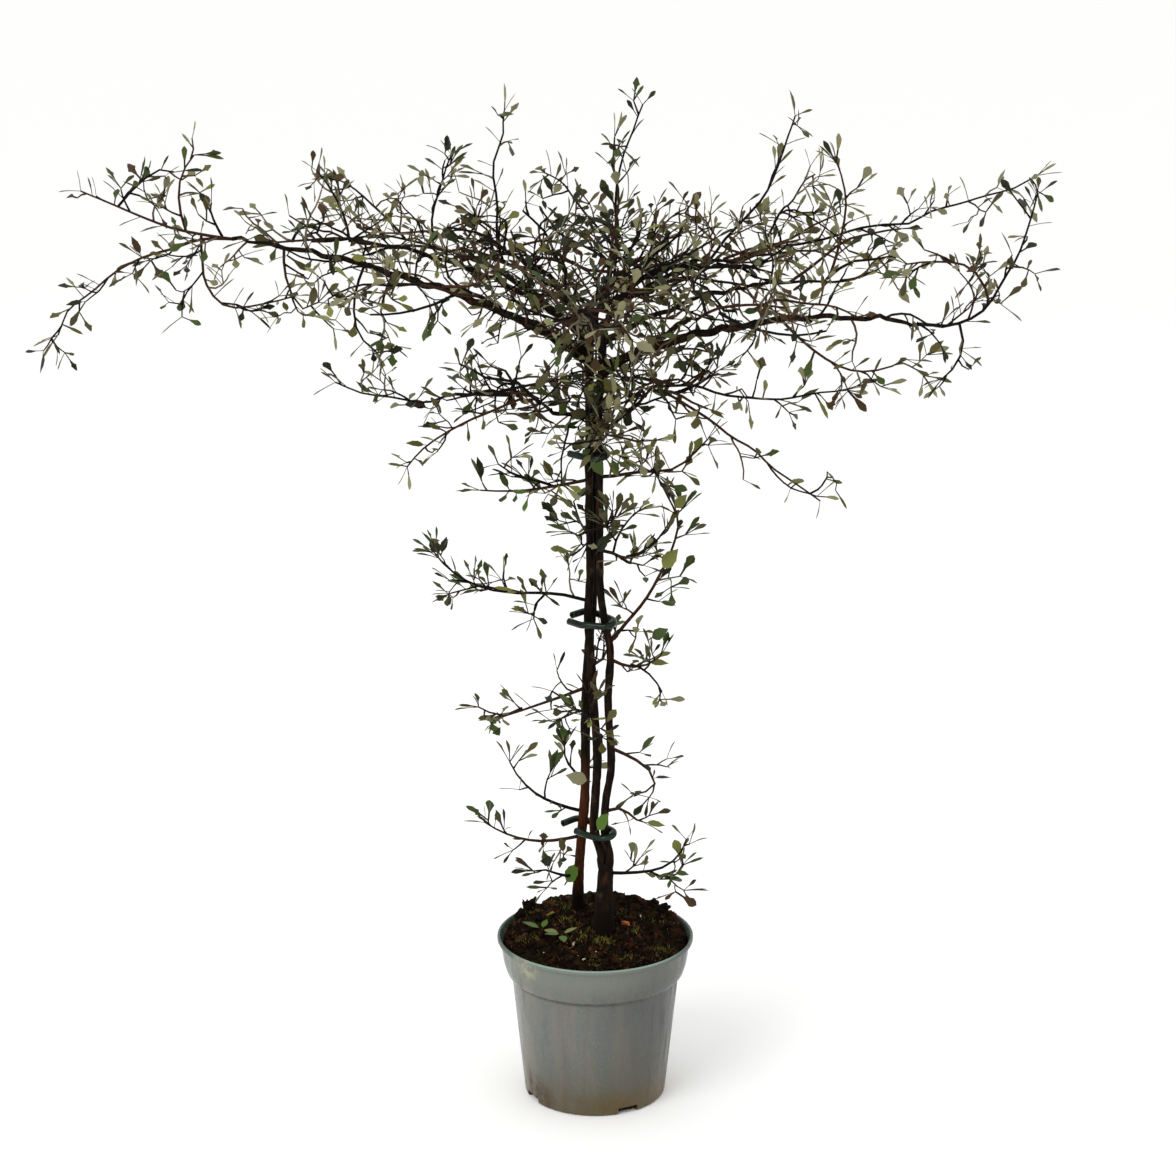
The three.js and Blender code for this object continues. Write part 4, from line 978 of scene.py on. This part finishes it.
SIDE_GROWTH = dict(
    OPEN_GROWTH, leader_girths=(1.3, 0.8), twig_spacing=24.0, twig_reach=(10.0, 36.0), fine_spacing=18.0,
    fine_reach=(5.0, 14.0), leaf_spacing=15.0, leaf_width=0.34, along=(0, 2), tips=(2, 4), rise=0.55)
KINDS = dict(
    bough=dict(OPEN_GROWTH, level=0.8, lift=-0.05, twig_spacing=32.0, twig_reach=(24.0, 84.0),
               twig_girths=(1.4, 0.8), twig_wire=(8.0, 0.15, 0.2), leaf_spacing=24.0, tips=(1, 2)),
    shoots=dict(OPEN_GROWTH, lift=-0.02, twig_spacing=8.0, twig_reach=(14.0, 58.0), twig_spread=1.2,
                tips=(2, 4)),
    wand=WAND_GROWTH,
    bare=dict(WAND_GROWTH, twig_spacing=62.0, twig_reach=(16.0, 60.0), fine_spacing=40.0,
              leaf_spacing=24.0, tips=(1, 2)))
TANGLED = dict(
    crown_inner_left=INNER_GROWTH, crown_left_upper=OUTER_GROWTH, crown_back=OUTER_GROWTH,
    crown_right_back=SPARSE_GROWTH, crown_left_back=SPARSE_GROWTH, crown_left_front=SPARSE_GROWTH,
    crown_right_front=SPARSE_GROWTH, crown_right_outer=SPARSE_GROWTH, low_left=LOW_GROWTH,
    low_right=LOW_GROWTH)
WAND_MASSES = ("crown_heart", "crown_inner_left", "crown_inner_right", "crown_right_outer")
GOLDEN_TURN = 2.39996
TIP_SHARE = 0.97
ONWARD = 0.4


def chance(*keys):
    """A number from 0 to 1 that depends on its keys alone."""
    wave = math.sin(sum(key * weight for key, weight in zip(keys, (12.9898, 78.233, 37.719)))) * 43758.5453
    return wave - math.floor(wave)


def unit(way):
    return way / np.linalg.norm(way)


def along_at(points, share):
    """The place and the heading at a share of a row of points."""
    spot = share * (len(points) - 1)
    before = min(int(spot), len(points) - 2)
    step = points[before + 1] - points[before]
    return points[before] + step * (spot - before), unit(step)


def root_of(mass):
    """Where a mass starts, its heading there if it carries a tip on, and its girth."""
    if mass["height"]:
        return on_axis(mass["on"], mass["height"]), None, GROWTH["leader_girths"][0]
    line = {**stem_lines, **bough_lines}[mass["on"]]
    thin = BOUGHS[mass["on"]][-1][1] if mass["on"] in BOUGHS else STEMS[mass["on"]]["radii"][1]
    return line[-1], along_at(line, 1.0)[1], TIP_SHARE * thin


def leader(start, via, end):
    """A leader ended early enough for its last leaf to reach to its end."""
    end = end + unit(via - end) * GROWTH["room_for_leaf"]
    rough = evenly(curved(start, via, end, CURVE_STEPS), 30)
    return evenly(rough, max(5, int(length_of(rough) / GROWTH["leader_step"])))


def carried_on(start, heading, end):
    return leader(start, start + heading * ONWARD * np.linalg.norm(end - start), end)


def leaders_of(mass, key, fan):
    """The leaders of a mass with the kind of each: its stem, the fan out of it, then the sprays."""
    start, heading, _ = root_of(mass)
    found = []
    if mass["heart"]:
        heart, radii = np.array(mass["heart"], float), np.array(mass["radii"], float)
        out = (heart - start) * (1, 1, 0)
        out *= FAN["stem_reach"] * radii[0] / np.linalg.norm(out)
        found.append((carried_on(start, heading, heart + out), "stem"))
        for place in range(fan):
            turn = (place + chance(key, place)) * GOLDEN_TURN + key
            level = np.array((math.cos(turn), math.sin(turn), FAN["heights"][place]))
            end = level * radii * FAN["reach"] + heart
            begin = along_at(found[0][0], FAN["first_root"] + FAN["root_step"] * (place % 5))[0]
            side = np.array((-math.sin(turn), math.cos(turn), 0)) * FAN["aside"]
            up = (0, 0, FAN["rise"] * (chance(key, place, 1) - 0.45))
            via = (begin + end) / 2 + side * (chance(key, place, 2) - 0.5) + up
            found.append((leader(begin, via, end), "fan"))
    for to, bow, at, on_bough, kind in mass["sprays"]:
        begin = along_at(found[0][0], at)[0] if found and at else start
        if on_bough:
            begin = along_at(bough_lines[mass["on"]], on_bough)[0]
        end = np.array(to, float)
        if not found and heading is not None:
            found.append((carried_on(begin, heading, end), "spray"))
        else:
            found.append((leader(begin, bowed(begin, end, bow), end), kind))
    return found


def aside_from(heading, spread, turn):
    """A direction opened from a heading by an angle and turned round it."""
    rest = np.array((1.0, 0, 0)) if abs(heading[2]) > 0.9 else np.array((0, 0, 1.0))
    level = unit(np.cross(rest, heading))
    across = np.cross(heading, level)
    aside = math.cos(turn) * level + math.sin(turn) * across
    return math.cos(spread) * heading + math.sin(spread) * aside


def sprig(draw, start, heading, reach, step, kink, bend, lift, room):
    """A wiry twig: it arches, may turn back, kinks at each node and ends where its room ends."""
    points = [start]
    steps = max(2, round(reach / step))
    arch = draw.normal(0, bend, 3)
    turning = draw.integers(2, 2 * steps)
    for place in range(steps):
        if place == turning:
            arch = -arch
        heading = unit(heading + arch + draw.normal(0, kink, 3) + (0, 0, lift))
        spot = points[-1] + heading * reach / steps
        if not room(spot):
            break
        points.append(spot)
    return np.array(points)


def leaf_shape(half_outline, fold, curl, stalk):
    """A thin closed leaf of length 1 along X, folded up along its rib, with its faces by side."""
    corners = [(0.0, 0.0, 0.0)]
    for run, half in half_outline:
        drop = -curl * run * run
        corners += [(run, half, fold * half + drop), (run, -half, fold * half + drop),
                    (run, 0.0, 0.012 + drop), (run, 0.0, -0.018 + drop)]
    corners.append((1.0, 0.0, -curl))
    tip = len(corners) - 1
    top, bottom = [], []
    for upper, mid, faces in ((True, 2, top), (False, 3, bottom)):
        first = 1
        rows = [(0, first + 1, first + mid), (0, first + mid, first)]
        for row in range(len(half_outline) - 1):
            near_row, far_row = 1 + 4 * row, 5 + 4 * row
            near_mid, far_mid = near_row + mid, far_row + mid
            rows += [(near_row + 1, far_row + 1, far_mid), (near_row + 1, far_mid, near_mid),
                     (near_mid, far_mid, far_row), (near_mid, far_row, near_row)]
        last = 1 + 4 * (len(half_outline) - 1)
        rows += [(last + 1, tip, last + mid), (last + mid, tip, last)]
        faces.extend(rows if upper else [(a, c, b) for a, b, c in rows])
    corners, triangles = np.array(corners), np.array(top + bottom)
    sides = np.array([0] * len(top) + [1] * len(bottom))
    sides[corners[triangles][:, :, 0].max(axis=1) <= stalk] = 2
    return corners, triangles, sides


LEAF_SHAPES = [
    # half its width at shares of its length, its fold, its curl and where its stalk ends
    leaf_shape(((0.02, 0.10), (0.40, 0.11), (0.60, 0.32), (0.76, 0.52), (0.90, 0.36)), 0.05, 0.08, 0.41),
    leaf_shape(((0.02, 0.10), (0.38, 0.12), (0.62, 0.30), (0.80, 0.38), (0.93, 0.20)), 0.04, 0.16, 0.41),
    leaf_shape(((0.02, 0.10), (0.34, 0.12), (0.56, 0.24), (0.82, 0.22)), 0.05, 0.10, 0.41),
    leaf_shape(((0.02, 0.10), (0.41, 0.11), (0.62, 0.30), (0.71, 0.58), (0.78, 0.42), (0.90, 0.26)),
               0.05, 0.02, 0.42),
    leaf_shape(((0.02, 0.05), (0.18, 0.06), (0.30, 0.36), (0.44, 0.52), (0.60, 0.46), (0.66, 0.48),
                (0.82, 0.24)), 0.06, 0.06, 0.19),
]
SHAPE_SHARES = (0.32, 0.25, 0.19, 0.18, 0.06)

# The leaves are dark green, bronze, olive or grey-green above, by spray, and pale and felted
# below. Twigs are nearly black, some of them red-brown and a few grey.
LEAF_TINTS = {
    # colour and roughness above, and whether it is dull below
    "leaf_dark": ("#1e240f", 0.5, 1), "leaf_green": ("#3a4820", 0.5, 1), "leaf_olive": ("#504b26", 0.5, 0),
    "leaf_bronze": ("#3f2d1a", 0.5, 1), "leaf_grey": ("#737155", 0.6, 0), "leaf_young": ("#6b6d36", 0.5, 0),
    "leaf_fresh": ("#456120", 0.45, 1),
}
leaf_tops = [finish(name, colour, roughness, Specular_IOR_Level=0.14)
             for name, (colour, roughness, _) in LEAF_TINTS.items()]
leaf_unders = [finish("leaf_under", "#7d7a59", 0.8, Specular_IOR_Level=0.2),
               finish("leaf_under_dull", "#47432a", 0.8, Specular_IOR_Level=0.15)]
leaf_stalk = finish("leaf_stalk", "#2b2215", 0.7, Specular_IOR_Level=0.1)
twig_barks = [finish(name, colour, 0.75, Specular_IOR_Level=0.1) for name, colour in (
    ("twig_dark", "#0d0906"), ("twig_red", "#321d12"), ("twig_brown", "#4d3a27"), ("twig_grey", "#6b6250"))]
TWIG_SHARES = (0.52, 0.18, 0.18, 0.12)
PALER_TWIG_SHARES = (0.28, 0.15, 0.30, 0.27)
TINT_SHARES = dict(
    crown=(0.30, 0.20, 0.22, 0.09, 0.13, 0.06, 0.0), right=(0.17, 0.14, 0.29, 0.05, 0.25, 0.10, 0.0),
    low=(0.24, 0.24, 0.20, 0.08, 0.09, 0.13, 0.02), side=(0.24, 0.32, 0.17, 0.04, 0.06, 0.13, 0.04),
    shaded=(0.50, 0.24, 0.12, 0.12, 0.02, 0.0, 0.0))

GROUPS = {
    "crown_heart": ("crown_heart", "crown_inner_left", "crown_inner_right"),
    "crown_left": ("crown_left_upper", "crown_left_back", "crown_left_front", "crown_far_left"),
    "crown_right": ("crown_right_front", "crown_right_back", "crown_right_outer", "crown_far_right"),
    "crown_middle": ("crown_front", "crown_back"),
    "crown_low": ("low_left", "low_right", "low_front", "low_back"),
    "sides_left": tuple(name for name in MASSES if name.startswith("side_left")),
    "sides_right": tuple(name for name in MASSES if name.startswith("side_right")),
    "sides_deep": tuple(name for name in MASSES if name.startswith(("side_front", "side_back"))),
}

GROWTH_SEED = 1000
LEADER_SIDES, TWIG_SIDES = 5, 3
STRAY_TURN = 6.0
BARE_HEART = dict(out=60, below=778, share=0.6)
SHADED_HEART = dict(out=190, below=792)
BARE_BOUGH_POINTS = 22
LIMB_STEP = 6
SHOOTS_FROM, SHOOTS_TO = 640, 738
LEAF_CREASE = 60


def grow(name, twigs, leaves):
    """The twigs and leaves of one mass, added to the lists."""
    mass = MASSES[name]
    key = list(MASSES).index(name) + 1
    draw = np.random.default_rng(GROWTH_SEED + key)
    crown = name.startswith("crown")
    tints, barks = TINT_SHARES[name.split("_")[0]], TWIG_SHARES
    if name.startswith("crown_right") or name == "crown_inner_right":
        tints, barks = TINT_SHARES["right"], PALER_TWIG_SHARES

    def low_within(place, bounds):
        return crown and place[2] < bounds["below"] and math.hypot(place[0], place[1]) < bounds["out"]

    def room(place):
        if kind not in ("stem", "fan"):
            return True
        away = (place - mass["heart"]) / np.array(mass["radii"])
        return away @ away < limit

    def tuft(place, heading, at, tint):
        if low_within(place, BARE_HEART) and draw.random() < BARE_HEART["share"]:
            return
        fewest, most = sizes[at]
        for _ in range(draw.integers(fewest, most + 1)):
            spread = draw.uniform(*TUFT["spread"]) + (TUFT["more_along"] if at == "along" else 0)
            way = aside_from(heading, spread, draw.uniform(0, 2 * math.pi)) + (0, 0, sizes["rise"])
            long = draw.uniform(*sizes["leaf_length"])
            leaves.append((place, unit(way), draw.normal(0, TUFT["lean"]), long,
                           long * sizes["leaf_width"] * draw.uniform(*TUFT["width"]),
                           int(draw.choice(len(LEAF_SHAPES), p=SHAPE_SHARES)), tint))

    def tufts_on(twig, spacing, tint):
        """Tufts along a twig, and then one on its tip."""
        tufts = 1 + int(length_of(twig) / spacing)
        for place in range(1, tufts):
            tuft(*along_at(twig, place / tufts), "along", tint)
        tuft(*along_at(twig, 1.0), "tips", tint)

    tangled = TANGLED.get(name, GROWTH)
    plain = SIDE_GROWTH if name.startswith("side") else WAND_GROWTH if name in WAND_MASSES else OPEN_GROWTH
    leaders = leaders_of(mass, key, tangled["fan"])
    if mass["on"] in BOUGHS:
        leaders.append((bough_lines[mass["on"]][BARE_BOUGH_POINTS::LIMB_STEP], "bough"))
    if name in ("low_left", "low_right"):
        stem = stem_lines[BOUGHS[mass["on"]][0]]
        part = stem[(stem[:, 2] > SHOOTS_FROM) & (stem[:, 2] < SHOOTS_TO)]
        leaders.append((part[::LIMB_STEP], "shoots"))
    for number, (points, kind) in enumerate(leaders):
        sizes = dict(KINDS, stem=tangled, fan=tangled, spray=plain)[kind]
        on_limb = kind in ("bough", "shoots")
        if not on_limb:
            points = wandering(points, sizes["leader_kink"], 7 * key + number)
            thick, thin = sizes["fan_girths" if kind == "fan" else "leader_girths"]
            girths = np.linspace(thick if number else root_of(mass)[2], thin, len(points))
            twigs.append((points, girths, LEADER_SIDES, int(draw.integers(2))))
        run = length_of(points)
        count = 1 + int(run / sizes["twig_spacing"])
        for index in range(count):
            share = (index + 0.7) / count
            start, heading = along_at(points, share)
            turn = index * GOLDEN_TURN + STRAY_TURN * draw.random()
            way = aside_from(heading, sizes["twig_spread"] * draw.uniform(*TWIG["spread"]), turn)
            reach = draw.uniform(*sizes["twig_reach"])
            if kind == "spray":
                reach *= TWIG["first_reach"] - TWIG["taper"] * share
            limit = draw.uniform(*sizes["edge"])
            way = unit(way * (1, 1, sizes["level"]))
            twig = sprig(draw, start, way, reach, *sizes["twig_wire"], sizes["lift"], room)
            if len(twig) < 3:
                continue
            shares = TINT_SHARES["shaded"] if low_within(twig[0], SHADED_HEART) else tints
            tint = int(draw.choice(len(shares), p=shares))
            bark = int(draw.choice(len(barks), p=barks))
            twigs.append((twig, np.linspace(*sizes["twig_girths"], len(twig)), TWIG_SIDES, bark))
            fine_count = int(length_of(twig) / sizes["fine_spacing"])
            for fine_index in range(fine_count):
                start, heading = along_at(twig, min((fine_index + 0.8) / (fine_count + 0.4), 1.0))
                way = aside_from(heading, sizes["fine_spread"] * draw.uniform(*TWIG["fine_spread"]),
                                 fine_index * GOLDEN_TURN + STRAY_TURN * draw.random())
                fine = sprig(draw, start, way, draw.uniform(*sizes["fine_reach"]), *sizes["fine_wire"],
                             GROWTH["lift"], room)
                if len(fine) < 2:
                    continue
                twigs.append((fine, np.linspace(*sizes["fine_girths"], len(fine)), TWIG_SIDES, bark))
                tufts_on(fine, sizes["leaf_spacing"], tint)
            tufts_on(twig, TUFT["spacing_on_twigs"] * sizes["leaf_spacing"], tint)
        tip_tint = int(draw.choice(len(tints), p=tints))
        if kind in ("spray", "wand"):
            seats = int(run / sizes["seat_spacing"])
            for seat in range(seats):
                share = TUFT["first_seat"] + (1 - TUFT["first_seat"]) * (seat + 0.4) / seats
                tuft(*along_at(points, share), "along", tip_tint)
        if not on_limb:
            tuft(points[-1], points[-1] - points[-2], "tips", tip_tint)


def twig_piece(name, twigs, replaced):
    """Twigs as one piece: each has its points, its girth at each, its sides and its bark."""
    corners, triangles, shares, count = [], [], [], 0
    for points, girths, sides, bark in twigs:
        one, faces = ringed(points, framed(points)[1:], girths, sides)
        corners.append(one)
        triangles.append(faces + count)
        shares.append(np.full(len(faces), bark))
        count += len(one)
    mesh = joined(name, *(np.concatenate(rows) for rows in (corners, triangles, shares)))
    smoothed(mesh)
    place_piece(name, mesh, twig_barks, replaced)


def leaf_piece(name, leaves, replaced):
    """Leaves as one piece: each has its root, heading, lean, length, width, shape and tint."""
    corners, triangles, shares, count = [], [], [], 0
    dull = np.array([dull for _, _, dull in LEAF_TINTS.values()])
    for shape, (pattern, faces, sides) in enumerate(LEAF_SHAPES):
        chosen = [leaf for leaf in leaves if leaf[5] == shape]
        if not chosen:
            continue
        roots = np.array([leaf[0] for leaf in chosen])
        ways = np.array([unit(leaf[1]) for leaf in chosen])
        leans, longs, wides = (np.array([leaf[place] for leaf in chosen])[:, None] for place in (2, 3, 4))
        tints = np.array([leaf[6] for leaf in chosen])
        rest = np.where(np.abs(ways[:, 2:]) > 0.9, (1.0, 0, 0), (0, 0, 1.0))
        level = np.cross(rest, ways)
        level /= np.linalg.norm(level, axis=1, keepdims=True)
        face = np.cross(ways, level)
        across = level * np.cos(leans) + face * np.sin(leans)
        normal = np.cross(ways, across)
        x, y, z = (pattern[:, axis][None, :, None] for axis in range(3))
        placed = (roots[:, None] + x * (ways * longs)[:, None] + y * (across * wides)[:, None]
                  + z * (normal * longs)[:, None])
        corners.append(placed.reshape(-1, 3))
        starts = count + np.arange(len(chosen)) * len(pattern)
        triangles.append((faces[None] + starts[:, None, None]).reshape(-1, 3))
        blade = np.where(sides[None] == 0, tints[:, None], len(leaf_tops) + dull[tints][:, None])
        shares.append(np.where(sides[None] == 2, len(leaf_tops) + len(leaf_unders), blade).reshape(-1))
        count += len(chosen) * len(pattern)
    mesh = joined(name, *(np.concatenate(rows) for rows in (corners, triangles, shares)))
    smoothed(mesh, LEAF_CREASE)
    place_piece(name, mesh, [*leaf_tops, *leaf_unders, leaf_stalk], replaced)


# A few old leaves close to the stems are much broader than the rest. They are oval, and each
# stands in the piece of leaves of the group round it.
OVAL = 4
BROAD_WIDTH = 0.50
BROAD_LEAVES = {
    # root, tip, lean and tint
    "crown_low": (((4, -12, 668), (-10, -26, 654), 1.2, 2), ((2, -13, 690), (18, -28, 682), -1.2, 2),
                  ((-4, -8, 648), (-24, -18, 652), 1.2, 1), ((4, -12, 712), (14, -28, 700), 1.2, 5),
                  ((-6, -4, 674), (-24, -18, 682), 1.2, 0)),
    "sides_left": (((-30, 24, 201), (-17, 20, 226), 1.2, 6), ((-4, -12, 321), (-28, -16, 329), -1.2, 4)),
    "sides_right": (((72, -16, 588), (84, -18, 604), 1.2, 5), ((60, -18, 530), (76, -22, 553), 1.2, 5),
                    ((50, -12, 462), (68, -16, 474), 1.2, 1)),
    "sides_deep": (((0, -14, 270), (12, -20, 292), 1.2, 6), ((0, -12, 545), (12, -20, 566), 1.2, 0),
                   ((-4, -10, 642), (6, -22, 622), 1.2, 1)),
}

for group, names in GROUPS.items():
    twigs, leaves = [], []
    for name in names:
        grow(name, twigs, leaves)
    for root, tip, lean, tint in BROAD_LEAVES.get(group, ()):
        way = np.subtract(tip, root).astype(float)
        long = np.linalg.norm(way)
        leaves.append((np.array(root, float), way / long, lean, long, BROAD_WIDTH * long, OVAL, tint))
    twig_piece(group + "_twigs", twigs, names)
    leaf_piece(group + "_leaves", leaves, names)

# Two small seedlings stand in the soil in front of the left-hand stem. Each has a thin stem of
# one bend and three oval leaves.
SEEDLINGS = (
    # x, y and the leaves: heading, rise, length and tint
    (-53, -6, ((2.9, 0.35, 21.0, 6), (-0.7, 0.1, 21.0, 5), (1.2, 0.5, 14.0, 6))),
    (-34, -21, ((3.3, 0.15, 17.0, 6), (0.2, 0.45, 17.0, 5), (-1.4, 0.0, 18.0, 6))),
)
SEEDLING = dict(root_depth=2.0, head=(1.5, -1.0, 8.0), bend=(0.8, 0, 0), girths=(0.7, 0.6, 0.5),
                leaf_width=0.44)
twigs, leaves = [], []
for x, y, blades in SEEDLINGS:
    foot = np.array((x, y, soil_level(x, y) - SEEDLING["root_depth"]))
    head = foot + SEEDLING["head"]
    points = np.stack((foot, (foot + head) / 2 + SEEDLING["bend"], head))
    twigs.append((points, np.array(SEEDLING["girths"]), LEADER_SIDES, 1))
    for heading, rise, long, tint in blades:
        way = np.array((math.cos(heading), math.sin(heading), rise))
        leaves.append((head, way, 0.0, long, SEEDLING["leaf_width"] * long, OVAL, tint))
twig_piece("seedling_stems", twigs, [])
leaf_piece("seedling_leaves", leaves, [])
